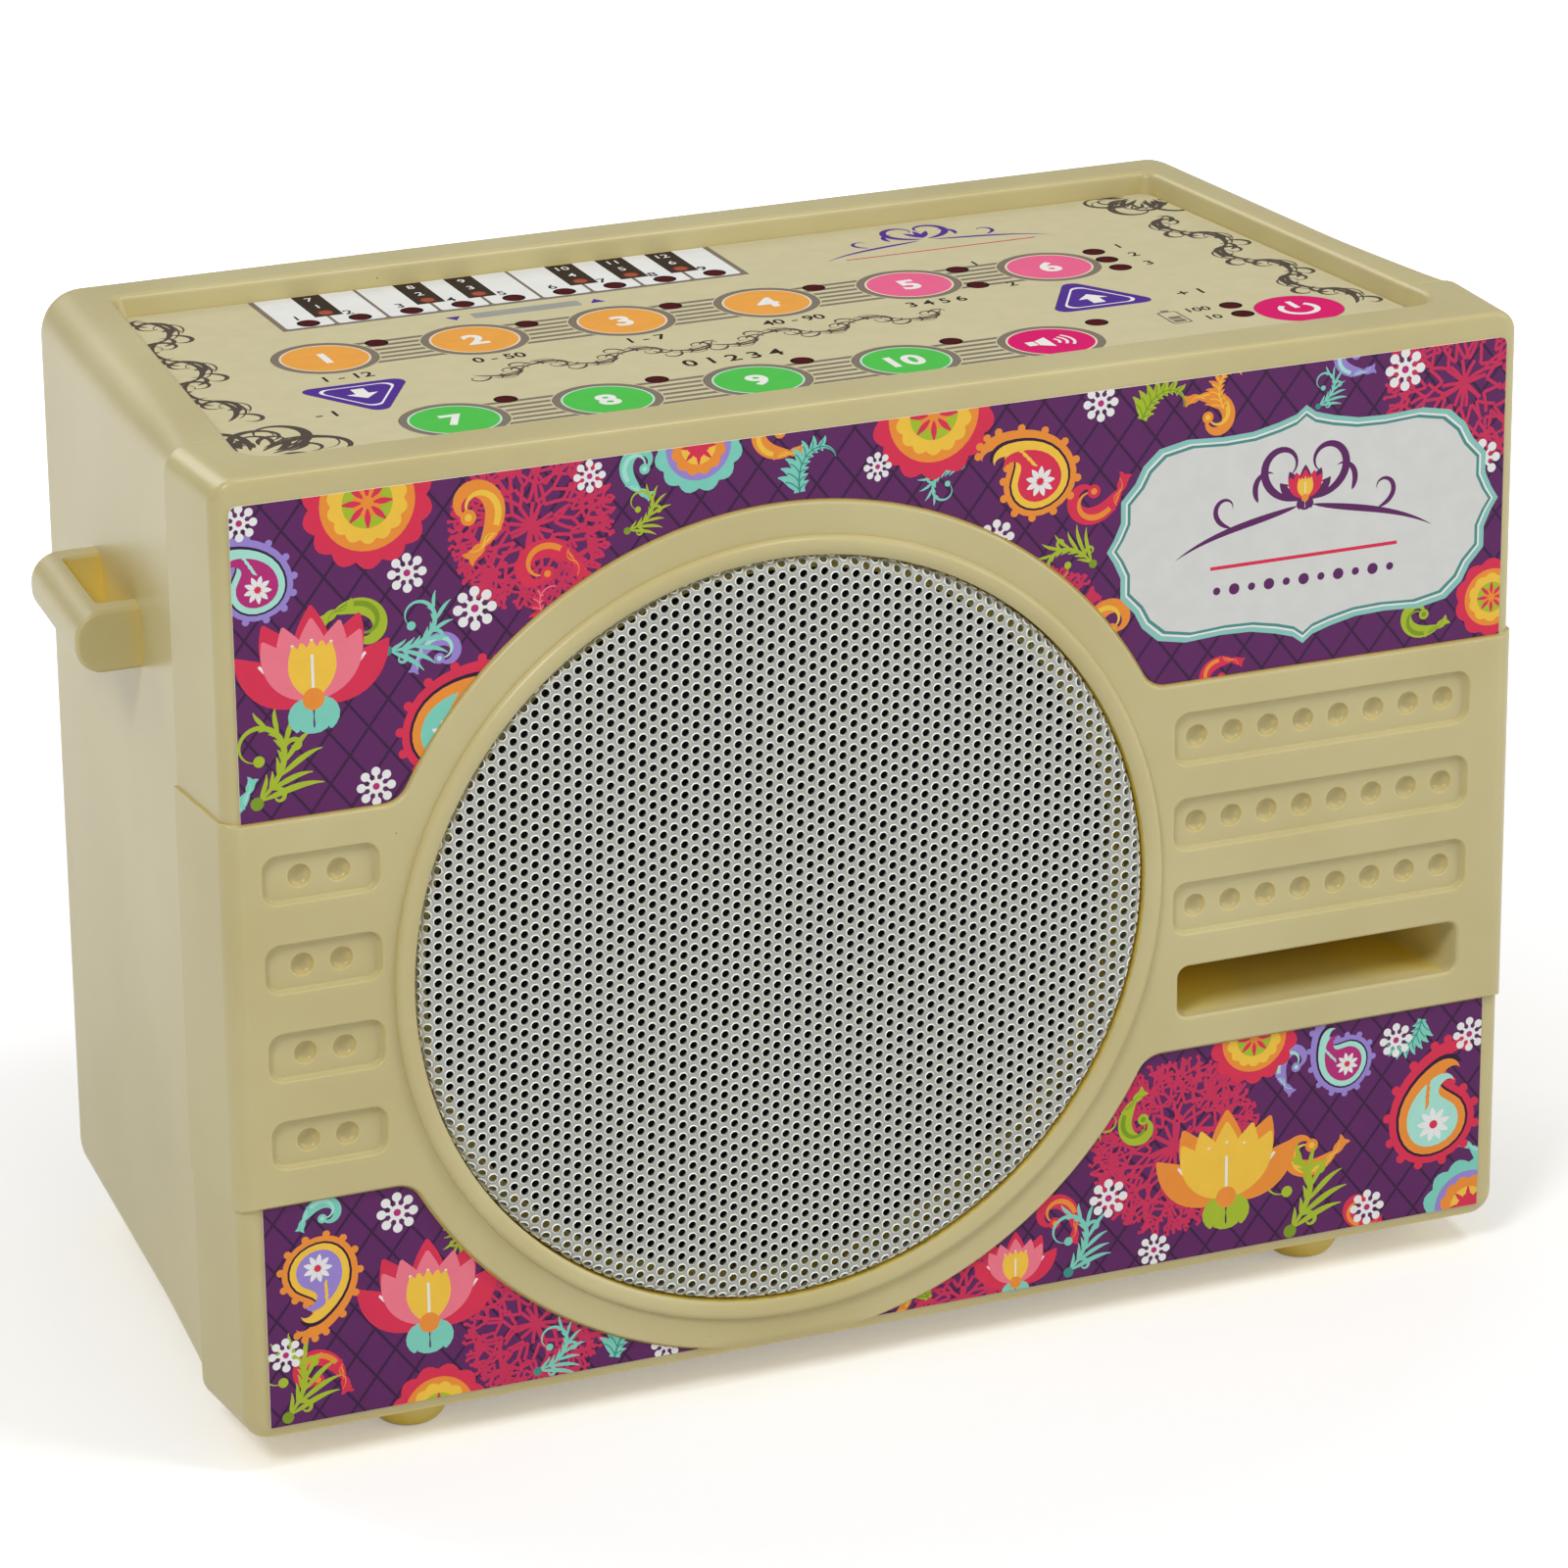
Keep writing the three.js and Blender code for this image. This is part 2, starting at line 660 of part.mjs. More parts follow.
// Labels lie on the face round the plateau
function upperLabelShape() {
  const level = beltTop + labelGap;
  const left = junction(-1, beltTop, labelGap);
  const right = junction(1, beltTop, labelGap);
  const shape = new THREE.Shape();
  shape.moveTo(-labelHalfWidth, level);
  shape.lineTo(left.x, level);
  shape.absarc(left.x, left.z, left.radius, -Math.PI / 2, left.angle + Math.PI, false);
  shape.absarc(speakerX, 0, ringRadius + labelGap, left.angle, right.angle, true);
  shape.absarc(right.x, right.z, right.radius, right.angle - Math.PI, -Math.PI / 2, false);
  shape.lineTo(labelHalfWidth, level);
  const cornerX = labelHalfWidth - labelCorner;
  const cornerZ = labelTop - labelCorner;
  shape.absarc(cornerX, cornerZ, labelCorner, 0, Math.PI / 2, false);
  shape.absarc(-cornerX, cornerZ, labelCorner, Math.PI / 2, Math.PI, false);
  return shape;
}

function lowerLabelShape(side) {
  const level = -beltBottom - labelGap;
  const ring = ringRadius + labelGap;
  const meet = junction(side, -beltBottom, labelGap);
  const tip = Math.sqrt(ring ** 2 - lowerLabelBottom ** 2);
  const tipAngle = Math.atan2(-lowerLabelBottom, side * tip);
  const shape = new THREE.Shape();
  shape.moveTo(side * lowerLabelHalfWidth, level);
  shape.lineTo(side * lowerLabelHalfWidth, -lowerLabelBottom);
  shape.lineTo(speakerX + side * tip, -lowerLabelBottom);
  shape.absarc(speakerX, 0, ring, tipAngle, meet.angle, side < 0);
  shape.absarc(meet.x, meet.z, meet.radius, meet.angle + Math.PI, Math.PI / 2, side > 0);
  return shape;
}

const label = (shape) => slabBack(shape, -labelThickness, 0);

// Dimple panels: a drafted pocket with round dimples in its floor
function panelCut(x, z, width, height, dimples) {
  const pocket = (grow, y) => atDepth(
    rounded(box2(x - width / 2 - grow, x + width / 2 + grow, z - height / 2 - grow, z + height / 2 + grow),
      panelCorner + grow, filletSteps), y);
  const surface = -plateauProud;
  const floor = surface + panelDepth;
  const cuts = [loft([pocket(overrun, surface - overrun), pocket(0, surface), pocket(-panelDraft, floor)])];
  const profile = Array.from({ length: filletSteps }, (_, k) => {
    const angle = k / (filletSteps - 1) * Math.PI / 2;
    return [dimpleRadius * Math.sin(angle), floor + dimpleDepth * Math.cos(angle)];
  });
  profile.push([dimpleRadius, surface], [0, surface]);
  for (let i = 0; i < dimples; i++) {
    cuts.push(turned(profile, x + (i - (dimples - 1) / 2) * dimplePitch, z, dimpleSides));
  }
  return cuts;
}

// The port: a rounded slot that draws in over its duct
function portBody(grow, front, back) {
  const half = portWidth / 2 + grow;
  const tall = portHeight / 2 + grow;
  const ring = (y) => {
    const share = y / portLength;
    const end = half - portTaper * share;
    const rise = tall - portDraft * share;
    const slot = box2(rightPanelX - end, rightPanelX + end, portZ - rise, portZ + rise);
    return atDepth(rounded(slot, portCorner + grow), y);
  };
  return loft([ring(front), ring(back)]);
}

const screwPlaces = [[-1, 1], [1, 1], [1, -1], [-1, -1]].map(([sx, sz]) =>
  ({ x: sx * towerX, z: sz > 0 ? towerTop : -towerBottom }));
const earPlaces = earAngles.map((degrees) => {
  const angle = THREE.MathUtils.degToRad(degrees);
  return { x: speakerX + earCircle * Math.cos(angle), z: earCircle * Math.sin(angle) };
});
const feet = [
  { name: 'foot_front_left', x: -footX, y: frontFootY },
  { name: 'foot_front_right', x: footX, y: frontFootY },
  { name: 'foot_rear_left', x: -footX, y: rearFootY },
  { name: 'foot_rear_right', x: footX, y: rearFootY },
];
const footBores = (places) => union(places.map((p) => post(
  p.x, p.y, footStemRadius + clearance,
  -caseBelowAxis - overrun * 2, -caseBelowAxis + wall + rearRise + overrun)));

function frontBezel() {
  let body = bezelOutside(caseHalfWidth, bezelFlare, caseBelowAxis, caseAboveAxis, 0, frontFillet);
  body = body.add(plateau());
  body = body.subtract(bezelHollow());
  const inside = [
    bead(),
    turned([
      [grilleRadius - ledgeWidth, frontWall / 2], [grilleRadius + mountRing, frontWall / 2],
      [grilleRadius + mountRing, ledgeBack], [grilleRadius - ledgeWidth, ledgeBack],
      [grilleRadius - ledgeWidth, frontWall / 2]], speakerX, 0),
    portBody(ductWall, frontWall / 2, portLength),
  ];
  for (const p of screwPlaces) inside.push(rod(p.x, p.z, bossRadius, frontWall / 2, bossLength));
  for (const p of earPlaces) inside.push(rod(p.x, p.z, earRadius, frontWall / 2, flangeFront - clearance));
  body = body.add(union(inside));
  const cuts = [
    recessCut(),
    keyWells(),
    footBores(feet.slice(0, 2)),
    turned([
      [0, -overrun * 4], [grilleRadius + clearance, -overrun * 4],
      [grilleRadius + clearance, ledgeFront], [grilleRadius - ledgeWidth, ledgeFront],
      [grilleRadius - ledgeWidth, ledgeBack + overrun], [0, ledgeBack + overrun]], speakerX, 0),
    portBody(0, -overrun * 2, portLength + overrun),
  ];
  for (const z of panelHeights(leftPanelCount)) {
    cuts.push(...panelCut(leftPanelX, z, leftPanelWidth, leftPanelHeight, leftDimples));
  }
  for (const z of panelHeights(rightPanelCount)) {
    cuts.push(...panelCut(rightPanelX, z, rightPanelWidth, rightPanelHeight, rightDimples));
  }
  const pilot = shankRadius + clearance;
  for (const p of screwPlaces) cuts.push(rod(p.x, p.z, pilot, frontWall + overrun, bossLength + overrun));
  for (const p of earPlaces) cuts.push(rod(p.x, p.z, pilot, frontWall / 2, flangeFront + overrun));
  return body.subtract(union(cuts));
}

// A lug: a D-shaped bar along the side wall, with an upright slot behind it
function strapLug(side) {
  const low = lugHeight - lugThickness / 2;
  const outline = (y) => atDepth(rounded(
    box2(halfAt(y) - wall / 2, halfAt(y) + lugReach, low, low + lugThickness),
    [clearance, lugCorner, lugCorner, clearance]), y);
  const slot = (y) => atDepth(box2(halfAt(y) - wall, halfAt(y) + lugSlotWidth,
    lugHeight - lugThickness, lugHeight + lugThickness), y);
  const lugBack = lugFront + lugLength;
  const lug = loft([outline(lugFront), outline(lugBack)])
    .subtract(loft([slot(lugFront + lugArm), slot(lugBack - lugArm)]));
  return side > 0 ? lug : lug.mirror([1, 0, 0]);
}

const backInside = caseDepth - wall;
const mainBoardBack = backInside - mainBoardGap;
const mainBoardFront = mainBoardBack - boardThickness;
const mainPosts = [[-1, 1], [1, 1], [1, -1], [-1, -1]].map(([sx, sz]) => ({
  x: mainBoardX + sx * (mainBoardHalf - mainPostInset),
  z: mainBoardZ + sz * (mainBoardHeight / 2 - mainPostInset),
}));
const keypadPosts = [[-1, 0], [1, 0], [-1, 1], [1, 1]].map(([sx, far]) => ({
  x: sx * (boardHalf - keypadScrewInset),
  y: far ? boardBack - keypadScrewBack : boardFront + keypadScrewFront,
}));
const towerFront = bossLength + clearance;

function rearCase() {
  let body = rearOutside();
  body = body.subtract(rearHollow()).add(strapLug(-1)).add(strapLug(1));
  body = body.add(tongue());
  const inside = [];
  for (const p of screwPlaces) inside.push(rod(p.x, p.z, towerRadius, towerFront, caseDepth - wall / 2));
  for (const p of mainPosts) inside.push(rod(p.x, p.z, postRadius, mainBoardBack, caseDepth - wall / 2));
  for (const p of keypadPosts) inside.push(post(p.x, p.y, postRadius, boardTop, ceiling + overrun));
  body = body.add(union(inside));
  const pilot = shankRadius + clearance;
  const cuts = [recessCut(), keyWells(), footBores(feet.slice(2))];
  for (const p of screwPlaces) {
    cuts.push(rod(p.x, p.z, towerBore, towerFront + towerSeat, caseDepth + overrun, smallSides * 2));
    cuts.push(rod(p.x, p.z, pilot, towerFront - overrun, caseDepth));
  }
  for (const p of mainPosts) cuts.push(rod(p.x, p.z, pilot, mainBoardBack - overrun, backInside));
  for (const p of keypadPosts) cuts.push(post(p.x, p.y, pilot, boardTop - overrun, ceiling));
  for (const [x, nose] of [[inletX, inletNose], [lineOutX, lineOutNose]]) {
    cuts.push(rod(x, socketZ, nose + clearance, backInside - overrun, caseDepth + overrun, keySides));
  }
  return body.subtract(union(cuts));
}

// The grille: a dished sheet, punched in a staggered pattern
function speakerGrille() {
  const flat = grilleRadius - grilleRoll;
  const outer = [[0, grilleFace]];
  const inner = [];
  for (let k = 0; k <= filletSteps; k++) {
    const angle = k / filletSteps * Math.PI / 2;
    outer.push([flat + grilleRoll * Math.sin(angle), grilleFace + grilleRoll * (1 - Math.cos(angle))]);
    inner.push([flat + (grilleRoll - sheet) * Math.sin(angle),
      grilleFace + grilleRoll - (grilleRoll - sheet) * Math.cos(angle)]);
  }
  outer.push([grilleRadius, grilleFace + grilleSkirt], [grilleRadius - sheet, grilleFace + grilleSkirt]);
  const dish = turned([...outer, ...inner.reverse(), [0, grilleFace + sheet]], speakerX, 0);
  const holes = [];
  for (let row = -grilleRings; row <= grilleRings; row++) {
    for (let column = -grilleRings; column <= grilleRings; column++) {
      if (Math.abs(row + column) > grilleRings) continue;
      const x = speakerX + grillePitch * column * Math.sqrt(3) / 2;
      const z = grillePitch * (row + column / 2);
      holes.push(rod(x, z, grilleHole / 2, grilleFace - overrun, grilleFace + sheet + overrun, 6));
    }
  }
  return dish.subtract(union(holes));
}

// The driver, from its flange back to the plate behind the magnet
const basketBack = flangeBack + basketDepth;
const coneBack = flangeBack + coneDepth;
const magnetFront = basketBack + clearance;
const magnetBack = magnetFront + magnetThickness;

function speakerFrame() {
  const lip = flangeRadius - mountRing;
  const body = turned([
    [lip, flangeFront], [flangeRadius, flangeFront], [flangeRadius, flangeBack],
    [lip + basketSheet, flangeBack], [basketFloorRadius + basketSheet, basketBack],
    [poleRadius * 2, basketBack], [poleRadius * 2, basketBack - basketSheet],
    [basketFloorRadius, basketBack - basketSheet], [lip, flangeBack], [lip, flangeFront]],
  speakerX, 0, hiddenSides);
  const ears = earPlaces.map((p) => rod(p.x, p.z, earRadius, flangeFront, flangeBack));
  const cuts = earPlaces.map((p) =>
    rod(p.x, p.z, shankRadius + clearance, flangeFront - overrun, flangeBack + overrun));
  const middle = flangeBack + basketDepth / 2;
  for (let k = 0; k < 2; k++) {
    const cut = solid(new THREE.BoxGeometry(flangeRadius * 3, windowDepth, windowWidth)
      .rotateY(k * Math.PI / 2).translate(speakerX, middle, 0));
    cuts.push(cut);
  }
  return body.add(union(ears)).subtract(union(cuts));
}

function speakerCone() {
  const throat = dustCapRadius - clearance;
  const hinge = coneRadius - surroundWidth;
  const front = flangeFront + flangeThickness / 2;
  const profile = [[throat, coneBack], [hinge, front]];
  const steps = filletSteps;
  for (let k = 1; k <= steps; k++) {
    const angle = Math.PI * k / steps;
    profile.push([
      hinge + surroundWidth / 2 * (1 - Math.cos(angle)), front - surroundWidth / 4 * Math.sin(angle)]);
  }
  const back = profile.map(([radius, depth]) => [radius, depth + coneWall]).reverse();
  return turned([...profile, ...back, profile[0]], speakerX, 0, hiddenSides);
}

function dustCap() {
  const radius = dustCapRadius - 2 * clearance;
  const profile = [[0, coneBack - dustCapHeight]];
  const steps = filletSteps;
  for (let k = 1; k <= steps; k++) {
    const angle = Math.PI / 2 * k / steps;
    profile.push([radius * Math.sin(angle), coneBack - dustCapHeight * Math.cos(angle)]);
  }
  profile.push([radius, basketBack - basketSheet], [0, basketBack - basketSheet]);
  return turned(profile, speakerX, 0, hiddenSides);
}

const gasket = () => turned([
  [grilleRadius - ledgeWidth, gasketFront], [grilleRadius - ledgeWidth + gasketWidth, gasketFront],
  [grilleRadius - ledgeWidth + gasketWidth, gasketFront + gasketThickness],
  [grilleRadius - ledgeWidth, gasketFront + gasketThickness], [grilleRadius - ledgeWidth, gasketFront]],
speakerX, 0, hiddenSides);
const magnet = () => turned([
  [poleRadius + clearance, magnetFront], [magnetRadius, magnetFront], [magnetRadius, magnetBack],
  [poleRadius + clearance, magnetBack], [poleRadius + clearance, magnetFront]], speakerX, 0, hiddenSides);
const backPlate = () => turned([
  [0, magnetFront], [poleRadius, magnetFront], [poleRadius, magnetBack + clearance],
  [plateRadius, magnetBack + clearance], [plateRadius, magnetBack + clearance + plateThickness],
  [0, magnetBack + clearance + plateThickness]], speakerX, 0, hiddenSides);

// Pan-head screws, from the depth or height of the head's underside; a negative length points forwards
const screwProfile = (seat, length) => {
  const top = seat - Math.sign(length) * headHeight;
  return [[0, seat + length], [shankRadius, seat + length], [shankRadius, seat], [headRadius, seat],
    [headRadius * headTopShare, top], [0, top]];
};
const screwBack = (p, seat, length, sides = tinySides) =>
  turned(screwProfile(seat, length), p.x, p.z, sides);
const screwUp = (p, seat, length) => turnedUp(screwProfile(seat, length), p.x, p.y, tinySides);

function keypadBoard() {
  const low = boardTop - clearance - boardThickness;
  const high = low + boardThickness;
  const parts = [block(-boardHalf, boardHalf, boardFront, boardBack, low, high)];
  const shoulder = switchTop - plungerHeight;
  for (const key of keys) {
    parts.push(block(key.x - switchSide / 2, key.x + switchSide / 2, key.y - switchSide / 2,
      key.y + switchSide / 2, high - boardThickness / 2, shoulder));
    parts.push(post(key.x, key.y, plungerRadius, shoulder - overrun, switchTop, tinySides));
    if (key.radius) {
      const side = key.name === 'power' ? -1 : 1;
      parts.push(post(key.x + side * (keyRadius + lampRadius), key.y + keyRadius / 2, lampRadius,
        high - boardThickness / 2, high + lampHeight, tinySides));
    }
  }
  const bores = keypadPosts.map((p) =>
    post(p.x, p.y, shankRadius + clearance, low - overrun, high + overrun));
  return union(parts).subtract(union(bores));
}

function mainBoard() {
  const low = mainBoardZ - mainBoardHeight / 2;
  const board = block(mainBoardX - mainBoardHalf, mainBoardX + mainBoardHalf, mainBoardFront, mainBoardBack,
    low, low + mainBoardHeight);
  const inset = mainPostInset * 2;
  const rooted = mainBoardFront + boardThickness / 2; // parts on the board reach into it
  const cans = canShares.map((share) => rod(mainBoardX + share * mainBoardHalf, low + canRise,
    mainPostInset, mainBoardFront - inset, rooted));
  const sink = block(mainBoardX + inset, mainBoardX + inset * 3, mainBoardFront - inset, rooted,
    low + inset, low + inset * 2);
  const chip = block(mainBoardX - inset, mainBoardX + inset, mainBoardFront - boardThickness, rooted,
    mainBoardZ, mainBoardZ + inset * 2);
  const bores = mainPosts.map((p) =>
    rod(p.x, p.z, shankRadius + clearance, mainBoardFront - overrun, mainBoardBack + overrun));
  return union([board, ...cans, sink, chip]).subtract(union(bores));
}

// A socket stands on the main board and its nose fills a hole in the back wall
function socket(x, bore, nose, pin) {
  const front = mainBoardBack + clearance;
  const shoulder = backInside - clearance;
  const mouth = caseDepth - clearance;
  const half = socketSide / 2;
  let body = block(x - half, x + half, front, shoulder, socketZ - half, socketZ + half);
  body = body.add(rod(x, socketZ, nose, shoulder - overrun, mouth, keySides));
  body = body.subtract(rod(x, socketZ, bore, shoulder - socketDepth, mouth + overrun, keySides));
  if (!pin) return body;
  return body.add(rod(x, socketZ, pin, shoulder - socketDepth - overrun, mouth - overrun, tinySides));
}

const packLow = -lowAt(packY + cellLength / 2 + footRadius) + wall + 2 * clearance + trayWall;
const packHalf = 2 * cellRadius + packWrap;
const packHeight = 2 * (cellRadius + packWrap);

function batteryPack() {
  const outline = rounded(
    box2(packX - packHalf, packX + packHalf, packLow, packLow + packHeight), cellRadius);
  return loft([atDepth(outline, packY - cellLength / 2), atDepth(outline, packY + cellLength / 2)]);
}

const packBlock = (grow, low, high) => block(packX - packHalf - grow, packX + packHalf + grow,
  packY - cellLength / 2 - grow, packY + cellLength / 2 + grow, low, high);

function batteryTray() {
  const low = packLow - clearance - trayWall;
  const outer = packBlock(clearance + trayWall, low, low + trayHeight);
  return outer.subtract(packBlock(clearance, low + trayWall, low + trayHeight + overrun));
}

// A hoop over the pack, whose ends lie against the tray's sides
function batteryStrap() {
  const gap = clearance + trayWall + clearance;
  const low = packLow + trayHeight / 3;
  const high = packLow + packHeight + clearance + strapThickness;
  const hoop = (inset, drop) => rounded(
    box2(packX - packHalf - gap - strapThickness + inset, packX + packHalf + gap + strapThickness - inset,
      low - drop, high - inset), [strapThickness / 4, strapThickness / 4, cellRadius / 2, cellRadius / 2]);
  const band = (outline, grow) => loft([
    atDepth(outline, packY - strapWidth / 2 - grow), atDepth(outline, packY + strapWidth / 2 + grow)]);
  return band(hoop(0, 0), 0).subtract(band(hoop(strapThickness, overrun), overrun));
}

// The ribbon hangs from the keypad board and bends back to the main board
function ribbon() {
  const top = boardTop - clearance - boardThickness - clearance;
  const back = mainBoardFront - clearance;
  const front = boardBack - ribbonWidth / 2;
  const low = mainBoardZ + mainBoardHeight / 2 - mainPostInset;
  const bend = ribbonWidth / 6;
  const path = rounded([
    point(front, top), point(front, low), point(back, low),
    point(back, low + ribbonThickness), point(front + ribbonThickness, low + ribbonThickness),
    point(front + ribbonThickness, top)],
  [ribbonCrease, bend, ribbonCrease, ribbonCrease, bend - ribbonThickness, ribbonCrease]);
  const shape = new THREE.Shape(path);
  const geometry = new THREE.ExtrudeGeometry(shape, { depth: ribbonWidth, bevelEnabled: false });
  const matrix = new THREE.Matrix4().makeBasis(
    new THREE.Vector3(0, 1, 0), new THREE.Vector3(0, 0, 1), new THREE.Vector3(1, 0, 0));
  return solid(geometry.applyMatrix4(matrix).translate(ribbonX - ribbonWidth / 2, 0, 0));
}

// A push-in foot: a flat-bottomed dome with a stem into the case
function footBody(spot) {
  const inFront = spot.y < seamDepth;
  const under = -(inFront ? caseBelowAxis + bezelFlare / 2 : lowAt(spot.y - footRadius)) - clearance;
  const table = -caseBelowAxis - footHeight;
  const profile = [[0, table], [footRadius * footFlatShare, table]];
  for (let k = 1; k < filletSteps; k++) {
    const angle = k / (filletSteps - 1) * Math.PI / 2;
    profile.push([
      footRadius * (footFlatShare + (1 - footFlatShare) * Math.sin(angle)),
      under - (under - table) * Math.cos(angle)]);
  }
  const stemTop = under + footStemLength;
  profile.push([footStemRadius, under], [footStemRadius, stemTop], [0, stemTop]);
  return turnedUp(profile, spot.x, spot.y, footSides);
}

const tanpura = new THREE.Group();
tanpura.position.set(0, -(caseDepth - plateauProud - beadProud) / 2, caseBelowAxis + footHeight);

function place(name, body, material) {
  const mesh = new THREE.Mesh(geometryOf(body), material);
  mesh.name = name;
  tanpura.add(mesh);
}

place('front_bezel', frontBezel(), materials.shell);
place('rear_case', rearCase(), materials.shell);
place('speaker_grille', speakerGrille(), materials.grille);
place('speaker_gasket', gasket(), materials.rubber);
place('speaker_frame', speakerFrame(), materials.steel);
place('speaker_cone', speakerCone(), materials.paper);
place('dust_cap', dustCap(), materials.paper);
place('speaker_magnet', magnet(), materials.ferrite);
place('magnet_plate', backPlate(), materials.steel);
place('label_upper', label(upperLabelShape()), materials.label);
place('label_lower_left', label(lowerLabelShape(-1)), materials.label);
place('label_lower_right', label(lowerLabelShape(1)), materials.label);
place('keypad_film', film(), materials.film);
place('keypad_board', keypadBoard(), materials.board);
place('main_board', mainBoard(), materials.board);
place('battery_pack', batteryPack(), materials.wrap);
place('battery_tray', batteryTray(), materials.black);
place('battery_strap', batteryStrap(), materials.black);
place('power_inlet', socket(inletX, inletBore, inletNose, inletPin), materials.black);
place('line_out', socket(lineOutX, lineOutBore, lineOutNose, 0), materials.black);
place('ribbon_cable', ribbon(), materials.ribbon);
for (const key of keys) place('key_' + key.name, keyBody(key), materials[key.paint]);
for (const foot of feet) place(foot.name, footBody(foot), materials.shell);
screwPlaces.forEach((p, i) => place('case_screw_' + (i + 1),
  screwBack(p, towerFront + towerSeat + clearance, -caseScrewLength, smallSides), materials.steel));
earPlaces.forEach((p, i) => place('speaker_screw_' + (i + 1),
  screwBack(p, flangeBack + clearance, -smallScrewLength), materials.steel));
mainPosts.forEach((p, i) => place('main_board_screw_' + (i + 1),
  screwBack(p, mainBoardFront - clearance, smallScrewLength), materials.steel));
keypadPosts.forEach((p, i) => place('keypad_screw_' + (i + 1),
  screwUp(p, boardTop - 2 * clearance - boardThickness, smallScrewLength), materials.steel));

export default tanpura;
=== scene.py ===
# Electronic tanpura: the looks of its mouldings, sheet metal, printed film and labels.
import random
from math import acos, atan2, copysign, cos, degrees, hypot, pi, radians, sin, sqrt, tan

import bmesh
import bpy
from mathutils import Matrix, Quaternion, Vector, geometry


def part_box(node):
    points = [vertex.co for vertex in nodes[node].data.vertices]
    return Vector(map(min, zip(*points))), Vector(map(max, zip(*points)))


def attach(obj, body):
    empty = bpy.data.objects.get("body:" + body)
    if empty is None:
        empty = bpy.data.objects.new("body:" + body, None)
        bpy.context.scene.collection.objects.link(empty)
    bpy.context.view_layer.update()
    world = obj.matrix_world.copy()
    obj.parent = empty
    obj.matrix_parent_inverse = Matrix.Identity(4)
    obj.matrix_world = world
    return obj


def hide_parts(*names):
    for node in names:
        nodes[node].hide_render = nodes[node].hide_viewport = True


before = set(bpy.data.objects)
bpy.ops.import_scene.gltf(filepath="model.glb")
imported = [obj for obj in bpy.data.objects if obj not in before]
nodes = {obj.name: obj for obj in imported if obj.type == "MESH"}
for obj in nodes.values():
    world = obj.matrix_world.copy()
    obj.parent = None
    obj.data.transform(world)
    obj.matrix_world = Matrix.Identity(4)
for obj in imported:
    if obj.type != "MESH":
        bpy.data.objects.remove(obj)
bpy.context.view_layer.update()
scene = bpy.context.scene

# Everything below is drawn in the case's own frame, in millimetres: x to the right, y back
# from the front face, z up from the speaker's axis. inRow turns such a point into the row's.
grilleLow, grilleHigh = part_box("speaker_grille")
mm = 0.001
grilleProud = 1.5
speakerX = (grilleLow[0] + grilleHigh[0]) / 2 / mm
axisHeight = (grilleLow[2] + grilleHigh[2]) / 2 / mm
frontFace = grilleLow[1] / mm + grilleProud


def inRow(p):
    return Vector((p[0], p[1] + frontFace, p[2] + axisHeight)) * mm


# Nodes and materials
def ink(code):
    parts = [int(code[i:i + 2], 16) / 255 for i in (1, 3, 5)]
    return [c / 12.92 if c <= 0.04045 else ((c + 0.055) / 1.055) ** 2.4 for c in parts] + [1.0]


def feed(tree, node, inputs):
    for key, value in inputs.items():
        if isinstance(value, bpy.types.NodeSocket):
            tree.links.new(value, node.inputs[key])
        else:
            node.inputs[key].default_value = value


def addNode(tree, kind, inputs=None, **settings):
    node = tree.nodes.new(kind)
    for name, value in settings.items():
        setattr(node, name, value)
    feed(tree, node, inputs or {})
    return node


def emptyTree(block):
    block.use_nodes = True
    block.node_tree.nodes.clear()
    return block.node_tree


def newMaterial(name):
    material = bpy.data.materials.new(name)
    tree = emptyTree(material)
    shader = addNode(tree, "ShaderNodeBsdfPrincipled")
    addNode(tree, "ShaderNodeOutputMaterial", {"Surface": shader.outputs[0]})
    place = addNode(tree, "ShaderNodeTexCoord").outputs["Object"]
    return material, tree, shader, place


def rampBetween(tree, factor, low, high, darkest, lightest):
    ramp = addNode(tree, "ShaderNodeValToRGB", {0: factor})
    for element, place, colour in zip(ramp.color_ramp.elements, (low, high), (darkest, lightest)):
        element.position = place
        element.color = colour
    return ramp.outputs[0]


def mixed(tree, factor, first, second, blend="MIX"):
    return addNode(tree, "ShaderNodeMix", {"Factor": factor, 6: first, 7: second}, data_type="RGBA",
                   blend_type=blend).outputs[2]


def noiseAt(tree, place, size, detail=2.0):
    inputs = {"Vector": place, "Scale": 1 / (size * mm), "Detail": detail}
    return addNode(tree, "ShaderNodeTexNoise", inputs).outputs[0]


def bumpFrom(tree, height, depth, normal=None):
    inputs = {"Height": height, "Distance": depth * mm, "Strength": 1.0}
    if normal:
        inputs["Normal"] = normal
    return addNode(tree, "ShaderNodeBump", inputs).outputs[0]


def hollows(tree, reach, samples, low, high, most):
    # Mask of a painted glow: rises to its most in hollows that are small for the reach, and is 0 in the open
    inputs = {"Distance": reach * mm}
    clear = addNode(tree, "ShaderNodeAmbientOcclusion", inputs, samples=samples).outputs["AO"]
    return rampBetween(tree, clear, low, high, (most, most, most, 1), (0, 0, 0, 1))
